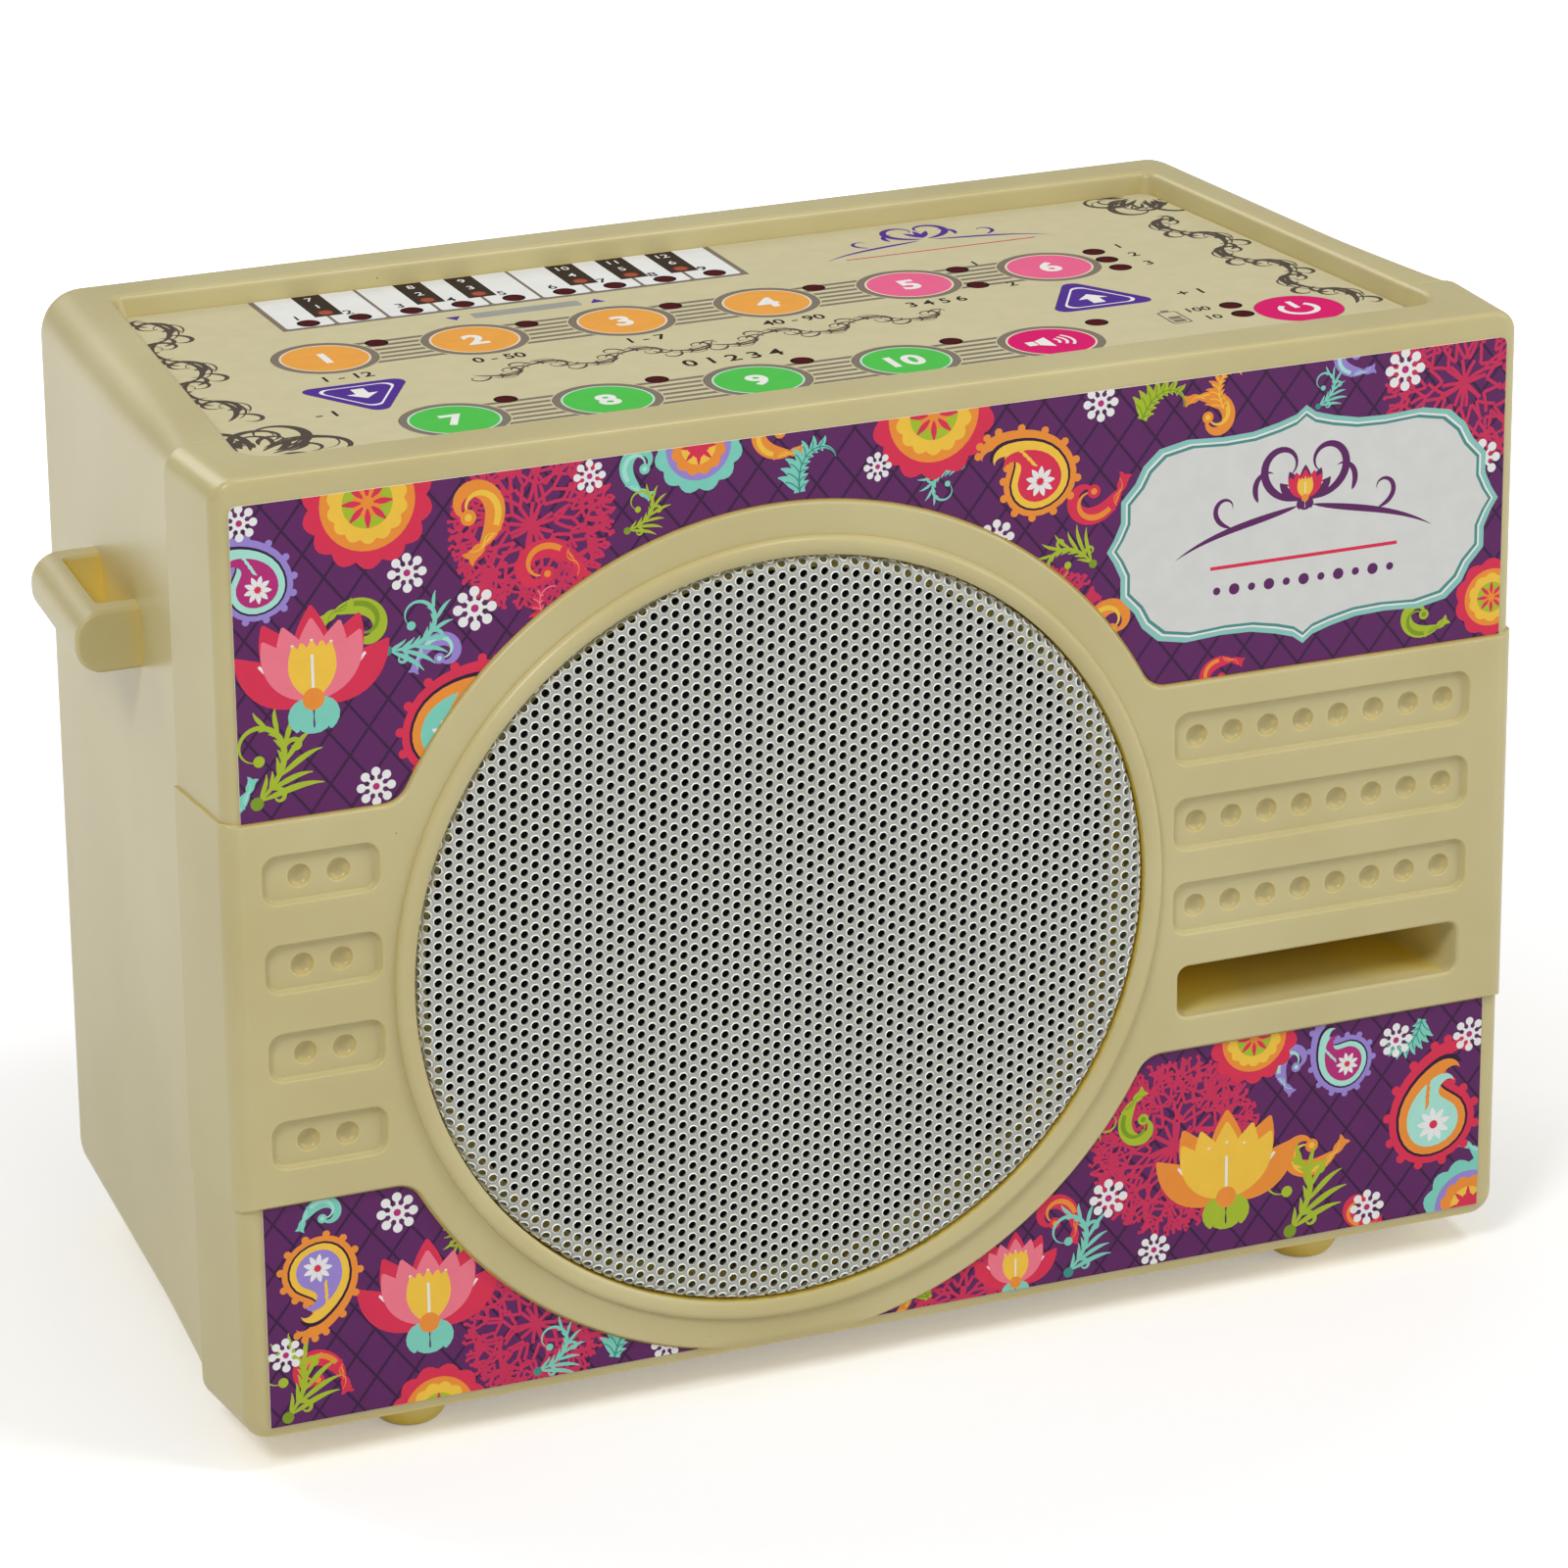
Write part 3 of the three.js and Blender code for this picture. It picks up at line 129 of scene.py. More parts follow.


# Narrow and wide give the reach in mm, the samples, the two ends of the ramp and its most, for the masks of
# the painted glow in crevices and in deep openings
creamShell = {"cream": "#CABF8E", "shade": "#C2B581", "creviceGlow": "#CFB76C", "glow": "#FFDF42",
              "speck": "#4A3A22", "mottle": 28, "speckCell": 9, "speckSize": 0.013, "roughness": (0.29, 0.34),
              "smear": 14, "grain": (0.35, 0.0015), "wave": (20, 0.04), "narrow": (3.5, 6, 0.3, 0.75, 0.8),
              "wide": (13, 12, 0.12, 0.5, 0.95), "ior": 1.53, "specular": 0.4, "inside": 0.2,
              "insideReach": 2.8, "insideTint": (1.0, 0.62, 0.25)}


def mouldedCreamAbs():
    # Cream ABS from a polished mould: a soft sheen, light going in a little way, faint mottling
    # and a few dark specks of foreign pellet. Crevices get a painted warm glow, and deep openings a
    # painted amber glow that stands in for light coming through the wall.
    material, tree, shader, place = newMaterial("mouldedCreamAbs")
    c = creamShell
    mottle = noiseAt(tree, place, c["mottle"], 3)
    colour = rampBetween(tree, mottle, 0.3, 0.7, ink(c["shade"]), ink(c["cream"]))
    # Painted light: crevices get a warm tint and deep openings an amber one, as if lit from within
    for reach, tint in (("narrow", "creviceGlow"), ("wide", "glow")):
        colour = mixed(tree, hollows(tree, *c[reach]), colour, ink(c[tint]))
    inputs = {"Vector": place, "Scale": 1 / (c["speckCell"] * mm), "Randomness": 1.0}
    away = addNode(tree, "ShaderNodeTexVoronoi", inputs, feature="F1").outputs["Distance"]
    spot = addNode(tree, "ShaderNodeMath", {0: away, 1: c["speckSize"]}, operation="LESS_THAN").outputs[0]
    smear = noiseAt(tree, place, c["smear"], 4)
    low, high = c["roughness"]
    gloss = addNode(tree, "ShaderNodeMapRange", {"Value": smear, "To Min": low, "To Max": high}).outputs[0]
    wave = bumpFrom(tree, noiseAt(tree, place, c["wave"][0], 1), c["wave"][1])
    feed(tree, shader, {
        "Base Color": mixed(tree, spot, colour, ink(c["speck"])), "Roughness": gloss,
        "Normal": bumpFrom(tree, noiseAt(tree, place, c["grain"][0], 2), c["grain"][1], wave),
        "IOR": c["ior"], "Specular IOR Level": c["specular"], "Subsurface Weight": c["inside"],
        "Subsurface Radius": c["insideTint"], "Subsurface Scale": c["insideReach"] * mm})
    return material


def plainMaterial(name, code, roughness, metallic, grain, depth):
    # A base for the small pieces: an even colour that varies by a few per cent, over a fine grain
    material, tree, shader, place = newMaterial(name)
    dark, light = [[min(1.0, c * share) for c in ink(code)[:3]] + [1.0] for share in (0.94, 1.06)]
    feed(tree, shader, {
        "Base Color": rampBetween(tree, noiseAt(tree, place, grain * 12, 3), 0.3, 0.7, dark, light),
        "Normal": bumpFrom(tree, noiseAt(tree, place, grain), depth),
        "Roughness": roughness, "Metallic": metallic})
    return material


def printedMaterial(name, roughness, specular, grain, depth):
    # Ink on a sheet: the colour is painted on the mesh, and the sheet gives sheen and grain
    material, tree, shader, place = newMaterial(name)
    colour = addNode(tree, "ShaderNodeAttribute", attribute_name="ink").outputs["Color"]
    fade = rampBetween(tree, noiseAt(tree, place, 3, 4), 0.25, 0.75, (0.93, 0.93, 0.93, 1), (1, 1, 1, 1))
    feed(tree, shader, {
        "Base Color": mixed(tree, 1.0, colour, fade, "MULTIPLY"), "Roughness": roughness, "IOR": 1.57,
        "Specular IOR Level": specular, "Normal": bumpFrom(tree, noiseAt(tree, place, grain), depth)})
    return material


# The burr colour is a painted highlight, whitening the burrs round the holes
paint = {"face": "#B0B2A8", "burrAndHighlight": "#FFFFFA", "roughness": 0.36, "dull": 0.94}


def punchedSheetSteel():
    # Sheet steel painted a warm light grey, with a painted highlight on the burrs that the punch drew up
    material, tree, shader, place = newMaterial("punchedSheetSteel")
    burrAndHighlight = addNode(tree, "ShaderNodeAttribute", attribute_name="burrAndHighlight").outputs["Fac"]
    light = ink(paint["face"])
    dull = [c * paint["dull"] for c in light[:3]] + [1.0]
    face = rampBetween(tree, noiseAt(tree, place, 5, 3), 0.3, 0.7, dull, light)
    feed(tree, shader, {
        "Base Color": mixed(tree, burrAndHighlight, face, ink(paint["burrAndHighlight"])), "Roughness": paint["roughness"],
        "Normal": bumpFrom(tree, noiseAt(tree, place, 0.4), 0.004)})
    return material


looks = {
    "shell": mouldedCreamAbs(),
    "grille": punchedSheetSteel(),
    "film": printedMaterial("screenPrintedPolyester", 0.46, 0.02, 0.12, 0.004),
    "label": printedMaterial("laminatedPrintedPaper", 0.42, 0.2, 0.5, 0.006),
    "zinc": plainMaterial("zincPlatedSteel", "#B9BCBE", 0.32, 1.0, 0.3, 0.004),
    "ferrite": plainMaterial("sinteredFerrite", "#34353A", 0.75, 0.0, 0.6, 0.03),
    "paper": plainMaterial("blackPaperPulp", "#17171A", 0.9, 0.0, 0.5, 0.04),
    "foam": plainMaterial("closedCellFoam", "#1C1C1E", 0.95, 0.0, 0.4, 0.05),
    "board": plainMaterial("solderMaskedBoard", "#2C6B3C", 0.4, 0.0, 0.6, 0.01),
    "wrap": plainMaterial("shrinkWrapVinyl", "#2D5FA9", 0.35, 0.0, 2.0, 0.02),
    "black": plainMaterial("blackNylon", "#1B1B1D", 0.45, 0.0, 0.4, 0.01),
    "ribbon": plainMaterial("greyRibbonVinyl", "#B4B7BA", 0.5, 0.0, 1.2, 0.03),
    "tin": plainMaterial("tinnedContact", "#C9CCCB", 0.25, 1.0, 0.3, 0.003),
}
print("materials made:", len(looks))


# Outlines and solids
def arcPoints(cx, cy, radius, start, end, steps):
    return [(cx + radius * cos(start + (end - start) * k / steps),
             cy + radius * sin(start + (end - start) * k / steps)) for k in range(steps + 1)]


def rounded(corners, radii, steps=8):
    points = []
    count = len(corners)
    for i, corner in enumerate(corners):
        radius = radii[i] if isinstance(radii, (list, tuple)) else radii
        here = Vector(corner)
        back = (Vector(corners[i - 1]) - here).normalized()
        ahead = (Vector(corners[(i + 1) % count]) - here).normalized()
        half = acos(max(-1, min(1, back.dot(ahead)))) / 2
        centre = here + (back + ahead).normalized() * radius / sin(half)
        start = here + back * radius / tan(half) - centre
        end = here + ahead * radius / tan(half) - centre
        turn = atan2(start.x * end.y - start.y * end.x, start.dot(end))
        first = atan2(start.y, start.x)
        points += arcPoints(centre.x, centre.y, radius, first, first + turn, steps)
    return points


def box2(left, right, low, high):
    return [(left, low), (right, low), (right, high), (left, high)]


def atDepth(outline, y):
    return [(x, y, z) for x, z in outline]


def atHeight(outline, z):
    return [(x, y, z) for x, y in outline]


def loft(rings):
    # Closed skin over rings of equal counts: (points, faces)
    count = len(rings[0])
    points = [p for ring in rings for p in ring]
    faces = [tuple(range(count))[::-1]]
    for i in range(len(rings) - 1):
        for j in range(count):
            k = (j + 1) % count
            faces.append((i * count + j, i * count + k, (i + 1) * count + k, (i + 1) * count + j))
    faces.append(tuple(range((len(rings) - 1) * count, len(rings) * count)))
    return points, faces


def turned(profile, cx, cz, sides=128, upright=False):
    # Profile of (radius, place along the axis); it closes on the axis or on itself
    rows, points, faces = [], [], []
    for radius, along in profile:
        if radius < 1e-6:
            rows.append([len(points)] * sides)
            points.append((cx, cz, along) if upright else (cx, along, cz))
            continue
        rows.append(list(range(len(points), len(points) + sides)))
        for k in range(sides):
            a, b = radius * cos(2 * pi * k / sides), radius * sin(2 * pi * k / sides)
            points.append((cx + a, cz + b, along) if upright else (cx + a, along, cz + b))
    closed = len(profile) > 2 and profile[0] == profile[-1]
    if closed:
        rows[-1] = rows[0]
    for low, high in zip(rows, rows[1:]):
        for k in range(sides):
            n = (k + 1) % sides
            face = []
            for v in (low[k], low[n], high[n], high[k]):
                if v not in face:
                    face.append(v)
            if len(face) > 2:
                faces.append(tuple(face))
    return points, faces


def linked(name, data):
    obj = bpy.data.objects.new(name, data)
    scene.collection.objects.link(obj)
    return obj


def newObject(name, solids):
    mesh = bpy.data.meshes.new(name)
    bm = bmesh.new()
    for points, faces in solids:
        made = [bm.verts.new(inRow(p)) for p in points]
        for face in faces:
            bm.faces.new([made[i] for i in face])
    bmesh.ops.delete(bm, geom=[v for v in bm.verts if not v.link_faces], context="VERTS")
    bmesh.ops.recalc_face_normals(bm, faces=bm.faces)
    bm.to_mesh(mesh)
    bm.free()
    return linked(name, mesh)


def baked(obj):
    # The object's mesh with its modifiers in it
    graph = bpy.context.evaluated_depsgraph_get()
    mesh = bpy.data.meshes.new_from_object(obj.evaluated_get(graph))
    obj.modifiers.clear()
    obj.data = mesh
    return obj


def joined(body, operation, tool):
    # The body joined with, or cut by, another object, which it uses up
    join = body.modifiers.new("join", "BOOLEAN")
    join.operation, join.solver, join.object = operation, "MANIFOLD", tool
    baked(body)
    bpy.data.objects.remove(tool)
    return body


def combine(body, operation, solids):
    return joined(body, operation, newObject("tool", solids))


def newTree(name, wanted):
    # A node group with inputs of these names and types: the group, their identifiers, their outputs
    tree = bpy.data.node_groups.new(name, "GeometryNodeTree")
    ids = {n: tree.interface.new_socket(n, in_out="INPUT", socket_type="NodeSocket" + kind).identifier
           for n, kind in wanted.items()}
    tree.interface.new_socket("Geometry", in_out="OUTPUT", socket_type="NodeSocketGeometry")
    return tree, ids, addNode(tree, "NodeGroupInput").outputs


def grown(obj, tree, ids, values):
    # The object with the mesh that the node group makes
    maker = obj.modifiers.new("maker", "NODES")
    maker.node_group = tree
    for label, value in values.items():
        maker[ids[label]] = value
    return baked(obj)


def finishPiece(obj, material, body="case", replaced=(), sharp=32, weighted=True):
    mesh = obj.data
    mesh.materials.clear()
    mesh.materials.append(material)
    mesh.polygons.foreach_set("use_smooth", [True] * len(mesh.polygons))
    mesh.set_sharp_from_angle(angle=radians(sharp))
    if weighted:
        even = obj.modifiers.new("even", "WEIGHTED_NORMAL")
        even.keep_sharp, even.weight = True, 80
        baked(obj)
    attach(obj, body)
    if replaced:
        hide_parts(*replaced)
    return obj


# The two shells
case = {"half": 92.5, "above": 72.2, "below": 60.3, "depth": 96.5, "seam": 17, "wall": 2.5, "frontWall": 3,
        "corner": 6, "frontCorner": 3.6, "leastCorner": 0.6, "frontFillet": 2.2, "topEdge": 0.9,
        "backFillet": 6, "flare": 0.7, "seamStep": 0.7, "taper": 6.2, "rise": 1.0, "lip": 0.35,
        "lipShare": 0.6, "step": 5, "inWall": 1.5, "insideCorner": 3,
        "tongue": (2.8, 4), "tongueFront": 14, "tongueBack": 17.4}
recess = {"depth": 3.6, "film": 0.6, "front": 8.2, "back": 85.2, "frontHalf": 85.1,
          "backHalf": 78.2, "frontCorner": 5, "backCorner": 2, "draft": 0.6, "lip": 1.1, "floor": 2.8}
belt = {"top": 26.3, "bottom": 26.6, "ring": 59.3, "proud": 0.9, "side": 0.4, "junction": 4,
        "edge": 0.45, "foot": 0.25, "fillet": 3.0}
bead = {"radius": 54, "outer": 0.9, "inner": 1.9, "proud": 1.0}
grille = {"radius": 52, "bore": 52.3, "roll": 1.7, "skirt": 3.9, "sheet": 0.6, "ledge": 2.6,
          "ledgeFront": 2.7, "ledgeBack": 5.7, "pitch": 1.72, "hole": 0.54, "crest": 0.61, "lip": 0.72,
          "burrAndHighlight": 0.13, "field": 45.0, "last": 53.2, "turn": 1.3, "skirtFrom": 62, "skirtGap": 0.02,
          "hoop": 5}

rim = case["above"]
floorHeight = rim - recess["depth"]
filmTop = floorHeight + recess["film"]
ceiling = floorHeight - recess["floor"]
skirtHalf = case["half"] + case["flare"]
rearHalf = skirtHalf - case["seamStep"]
rearLow = case["below"] - case["seamStep"] / 2


def halfAt(y):
    spread = case["half"] - case["taper"] - rearHalf
    return rearHalf + spread * (y - case["seam"]) / (case["depth"] - case["seam"])


def lowAt(y):
    return rearLow - case["rise"] * (y - case["seam"]) / (case["depth"] - case["seam"])


def caseOutline(half, low, high, inset, corner, topInset=None):
    top = inset if topInset is None else topInset
    outline = box2(-half + inset, half - inset, -low + inset, high - top)
    return rounded(outline, max(corner - inset, case["leastCorner"]), 10)


def cornerAt(y):
    share = (y - case["seam"]) / (case["depth"] - case["seam"])
    return case["frontCorner"] + (case["corner"] - case["frontCorner"]) * max(0, min(1, share * 3)) ** 0.7


def quarter(steps=8):
    return [k / steps * pi / 2 for k in range(steps + 1)]


def eased(radius, steps=8):
    # Steps round a quarter of a small edge: how far it has gone one way, and has to go the other
    return [(radius * (1 - cos(a)), radius * (1 - sin(a))) for a in quarter(steps)]


def bezelOutside(half, front, fillet):
    # The edge along the top is crisper than the others
    low, flare, corner, edge = case["below"], case["flare"], case["frontCorner"], case["topEdge"]
    rings = []
    for back, inset in eased(fillet, 10):
        top = edge - sqrt(max(edge ** 2 - max(edge - back, 0) ** 2, 0))
        rings.append(atDepth(caseOutline(half, low, rim, inset, corner, top), front + back))
    for inset, left in eased(case["lip"], 4):
        outline = caseOutline(half + flare, low + flare / 2, rim, inset * case["lipShare"], corner)
        rings.append(atDepth(outline, case["seam"] - left))
    return loft(rings)


def rearOutside():
    seam, lip = case["seam"], case["lip"]
    stations = [(seam + back, inset * case["lipShare"]) for back, inset in eased(lip, 4)]
    stations += [(seam + lip + k * case["step"], 0) for k in range(1, 7)]
    stations += [(case["depth"] - left, inset) for inset, left in eased(case["backFillet"])]
    rings = [(caseOutline(halfAt(y), lowAt(y), rim, inset, cornerAt(y)), y) for y, inset in stations]
    return loft([atDepth(*ring) for ring in rings])


def hollowRing(half, low, inset, y):
    top = ceiling + min(case["wall"] - inset, 0)
    return atDepth(rounded(box2(-half + inset, half - inset, -low + inset, top), case["insideCorner"], 6), y)


def recessOutline(inset):
    front, back = recess["frontHalf"] - inset, recess["backHalf"] - inset
    y0, y1 = recess["front"] + inset, recess["back"] - inset
    return rounded([(-front, y0), (front, y0), (back, y1), (-back, y1)],
                   [recess["frontCorner"]] * 2 + [recess["backCorner"]] * 2)


def recessCut():
    lip = recess["lip"]
    rings = [atHeight(recessOutline(recess["draft"]), floorHeight)]
    rings += [atHeight(recessOutline(-out), rim - left) for out, left in eased(lip, 6)]
    rings.append(atHeight(recessOutline(-lip), rim + 2))
    return loft(rings)


def junction(side, level, grow):
    radius = belt["junction"] - grow
    height = abs(level) + belt["junction"]
    reach = sqrt((belt["ring"] + belt["junction"]) ** 2 - height ** 2)
    up = copysign(1, level)
    return speakerX + side * reach, up * height, radius, atan2(up * height, side * reach)


def plateauOutline(grow, steps=14, arcSteps=96):
    reach = skirtHalf + 3
    ring = belt["ring"] + grow
    low, high = -belt["bottom"] - grow, belt["top"] + grow
    half = pi / 2
    lx, lz, r, la = junction(-1, -belt["bottom"], grow)
    rx, rz, _, ra = junction(1, -belt["bottom"], grow)
    points = [(-reach, low)]
    points += arcPoints(lx, lz, r, half, la + pi, steps)
    points += arcPoints(speakerX, 0, ring, la, ra, arcSteps)[1:-1]
    points += arcPoints(rx, rz, r, ra + pi, half, steps)
    points += [(reach, low), (reach, high)]
    rx, rz, _, ra = junction(1, belt["top"], grow)
    lx, lz, _, la = junction(-1, belt["top"], grow)
    points += arcPoints(rx, rz, r, -half, ra - pi, steps)
    points += arcPoints(speakerX, 0, ring, ra, la, arcSteps)[1:-1]
    points += arcPoints(lx, lz, r, la - pi, -half, steps)
    points.append((-reach, high))
    return points


def plateau():
    rings = [atDepth(plateauOutline(belt["foot"]), case["seam"] + 1)]
    rings += [atDepth(plateauOutline(left), -out) for out, left in eased(belt["foot"], 4)]
    proud = belt["proud"]
    rings += [atDepth(plateauOutline(-inward), left - proud) for inward, left in eased(belt["edge"], 5)]
    return loft(rings)


def beadRing():
    profile = [(bead["radius"] - bead["inner"], case["inWall"])]
    steps = 16
    for k in range(steps + 1):
        a = pi * (1 - k / steps)
        width = bead["inner"] if a > pi / 2 else bead["outer"]
        profile.append((bead["radius"] + width * cos(a), -belt["proud"] - bead["proud"] * sin(a)))
    profile += [(bead["radius"] + bead["outer"], case["inWall"]), profile[0]]
    return turned(profile, speakerX, 0, 160)


panels = {"pitch": 12.2, "top": 18.4, "leftX": -80, "leftSize": (15.8, 6.6), "leftCount": 4,
          "leftDimples": 2, "rightX": 63.4, "rightSize": (44.6, 7.4), "rightCount": 3,
          "rightDimples": 8, "corner": 2, "depth": 0.9, "draft": 0.2, "mouth": 0.3, "root": 0.25,
          "dimplePitch": 5.33, "dimple": 1.5, "dimpleDepth": 1.1, "dimpleLip": 0.25}
port = {"width": 42.6, "height": 7.4, "corner": 1.6, "length": 26, "taper": 5, "draft": 0.5,
        "duct": 1.8, "mouth": 0.5}


def pocket(x, z, width, height):
    surface, mouth, root = -belt["proud"], panels["mouth"], panels["root"]
    floor = surface + panels["depth"]

    def ring(grow, y):
        return atDepth(rounded(box2(x - width / 2 - grow, x + width / 2 + grow, z - height / 2 - grow,
                                    z + height / 2 + grow), panels["corner"] + grow, 8), y)
    rings = [ring(mouth, surface - 1)]
    rings += [ring(left, surface + down) for down, left in eased(mouth, 4)]
    rings += [ring(-panels["draft"] - inward, floor - left) for inward, left in eased(root, 4)]
    return loft(rings)


def dimple(x, z):
    floor = panels["depth"] - belt["proud"]
    lip, radius, depth = panels["dimpleLip"], panels["dimple"], panels["dimpleDepth"]
    profile = [(0, floor - 0.5), (radius + lip, floor - 0.5)]
    profile += [(radius + left, floor + down) for down, left in eased(lip, 4)]
    profile += [(radius * cos(a), floor + lip + (depth - lip) * sin(a)) for a in quarter(8)[1:-1]]
    profile.append((0, floor + depth))
    return turned(profile, x, z, 28)


def portSkin(grow, front, back, mouth=0):
    half, tall = port["width"] / 2 + grow, port["height"] / 2 + grow
    z0 = panels["top"] - panels["rightCount"] * panels["pitch"]

    def ring(y, extra=0):
        end = half - port["taper"] * y / port["length"] + extra
        rise = tall - port["draft"] * y / port["length"] + extra
        x0 = panels["rightX"]
        outline = box2(x0 - end, x0 + end, z0 - rise, z0 + rise)
        return atDepth(rounded(outline, port["corner"] + grow + extra), y)
    rings = [ring(front, mouth)]
    if mouth:
        rings += [ring(down - belt["proud"], left) for down, left in eased(mouth, 6)]
    rings.append(ring(back))
    return loft(rings)


keyTravel, keyGap = 0.4, 0.3
keyShow = 0.08  # seam that shows round a key, in place of the solid's running gap
rows = {"pitch": 21.3, "backX": -58.2, "backY": 55, "frontX": -52.1, "frontY": 21.7, "radius": 7,
        "powerX": 70.4, "powerY": 22, "powerRadius": 5.9, "arrow": 15.6, "arrowCorner": 1.3,
        "leastCorner": 0.15, "downX": -59.1, "downY": 37.7, "upX": 47.1, "upY": 38.2}
backNames = ["main_pitch", "fine_pitch", "fourth_string", "tempo", "beats", "style"]
frontNames = ["string_one", "string_two", "string_three", "string_four", "mute"]
keys = [{"name": n, "x": rows["backX"] + i * rows["pitch"], "y": rows["backY"], "radius": rows["radius"]}
        for i, n in enumerate(backNames)]
keys += [{"name": n, "x": rows["frontX"] + i * rows["pitch"], "y": rows["frontY"], "radius": rows["radius"]}
         for i, n in enumerate(frontNames)]
keys += [{"name": "power", "x": rows["powerX"], "y": rows["powerY"], "radius": rows["powerRadius"]},
         {"name": "down", "x": rows["downX"], "y": rows["downY"], "arrow": -1},
         {"name": "up", "x": rows["upX"], "y": rows["upY"], "arrow": 1}]


def circle(cx, cy, radius, sides=48):
    return arcPoints(cx, cy, radius, 0, 2 * pi * (sides - 1) / sides, sides - 1)


def triangle(cx, cy, side, up, grow):
    out = side / sqrt(3) + 2 * grow
    ways = [up * pi / 2 + k * 2 * pi / 3 for k in range(3)]
    corners = [(cx + out * cos(a), cy + out * sin(a)) for a in ways]
    return rounded(corners, max(rows["arrowCorner"] + grow, rows["leastCorner"]), 6)


def keyOutline(key, grow):
    if "arrow" in key:
        return triangle(key["x"], key["y"], rows["arrow"], key["arrow"], grow)
    return circle(key["x"], key["y"], key["radius"] + grow, 64)


def keyWells():
    return [loft([atHeight(keyOutline(k, keyGap), floorHeight - keyTravel - keyGap),
                  atHeight(keyOutline(k, keyGap), floorHeight + 1)]) for k in keys]


towers = {"x": 78, "top": 50, "bottom": -46, "radius": 6, "bore": 4.2, "front": 22.3, "seat": 6,
          "pilot": 1.8, "soft": 0.4}
towerPlaces = [(sx * towers["x"], z) for sx, z in ((-1, towers["top"]), (1, towers["top"]),
                                                   (1, towers["bottom"]), (-1, towers["bottom"]))]


def rod(x, z, radius, front, back, sides=48):
    return turned([(0, front), (radius, front), (radius, back), (0, back)], x, z, sides)


def frontBezel():
    low, wall, inWall = case["below"], case["wall"], case["inWall"]
    body = newObject("frontBezel", [bezelOutside(case["half"], 0, case["frontFillet"])])
    raised = newObject("raised", [plateau()])
    combine(raised, "INTERSECT", [bezelOutside(case["half"] + belt["side"], -belt["proud"], belt["fillet"])])
    joined(body, "UNION", raised)
    hollow = [hollowRing(case["half"], low, wall, case["frontWall"]),
              hollowRing(skirtHalf, low + case["flare"] / 2, wall, case["seam"] + 1)]
    combine(body, "DIFFERENCE", [loft(hollow)])
    bore, back = grille["bore"], grille["ledgeBack"]
    inner, outer = grille["radius"] - grille["ledge"], grille["radius"] + grille["hoop"]
    hoop = [(inner, inWall), (outer, inWall), (outer, back), (inner, back), (inner, inWall)]
    combine(body, "UNION", [turned(hoop, speakerX, 0, 160)])
    combine(body, "UNION", [portSkin(port["duct"], inWall, port["length"])])
    combine(body, "UNION", [beadRing()])
    ledge = grille["ledgeFront"]
    opening = [(0, -5), (bore, -5), (bore, ledge), (inner, ledge), (inner, back + 1), (0, back + 1)]
    combine(body, "DIFFERENCE", [turned(opening, speakerX, 0, 160)])
    cuts, bowls = [portSkin(0, -2, port["length"] + 1, port["mouth"])], []
    for side in ("left", "right"):
        width, height = panels[side + "Size"]
        count, dimples = panels[side + "Count"], panels[side + "Dimples"]
        for i in range(count):
            z = panels["top"] - i * panels["pitch"]
            cuts.append(pocket(panels[side + "X"], z, width, height))
            bowls += [dimple(panels[side + "X"] + (k - (dimples - 1) / 2) * panels["dimplePitch"], z)
                      for k in range(dimples)]
    combine(body, "DIFFERENCE", cuts)
    combine(body, "DIFFERENCE", bowls)
    combine(body, "DIFFERENCE", [recessCut()])
    combine(body, "DIFFERENCE", keyWells())
    return finishPiece(body, looks["shell"], "case", ["front_bezel"])


lug = {"height": 40.3, "front": 36.7, "length": 27, "reach": 9, "thickness": 8.6, "corner": 3.9,
       "slot": 5, "arm": 3.6, "soft": 0.6, "sunk": 1.2, "rootCorner": 0.3, "slotSunk": 3, "slotCorner": 0.8}
# The two sockets' height, and each one's x, the radius of its nose and of its bore
sockets = {"z": -14, "power_inlet": (-44, 4.2, 2.9), "line_out": (-22, 3.6, 1.8)}


def strapLug(side):
    tall, soft = lug["thickness"] / 2, lug["soft"]
    low, high, back = lug["height"] - tall, lug["height"] + tall, lug["front"] + lug["length"]

    def section(y, inset):
        root, t, corner = halfAt(y), tall - inset, lug["corner"] - inset
        outline = box2(root - lug["sunk"], root + lug["reach"] - inset, lug["height"] - t, lug["height"] + t)
        ring = rounded(outline, [lug["rootCorner"], corner, corner, lug["rootCorner"]])
        return atDepth([(side * x, z) for x, z in ring], y)
    rings = [section(lug["front"] + down, left) for down, left in eased(soft, 4)]
    rings += [section(back - left, inward) for inward, left in eased(soft, 4)]
    bar = newObject("bar", [loft(rings)])
    y0, y1 = lug["front"] + lug["arm"], back - lug["arm"]
    x0, x1 = halfAt(y0), halfAt(y1)

    def slotRing(z, grow):
        end, sunk = lug["slot"] + grow, lug["slotSunk"]
        corners = [(x0 - sunk, y0 - grow), (x0 + end, y0 - grow),
                   (x1 + end, y1 + grow), (x1 - sunk, y1 + grow)]
        return atHeight([(side * x, y) for x, y in rounded(corners, lug["slotCorner"] + grow, 6)], z)
    rings = [slotRing(low - 1, soft)]
    rings += [slotRing(low + up, left) for up, left in eased(soft, 4)]
    rings += [slotRing(high - left, out) for out, left in eased(soft, 4)]
    rings.append(slotRing(high + 1, soft))
    return combine(bar, "DIFFERENCE", [loft(rings)])


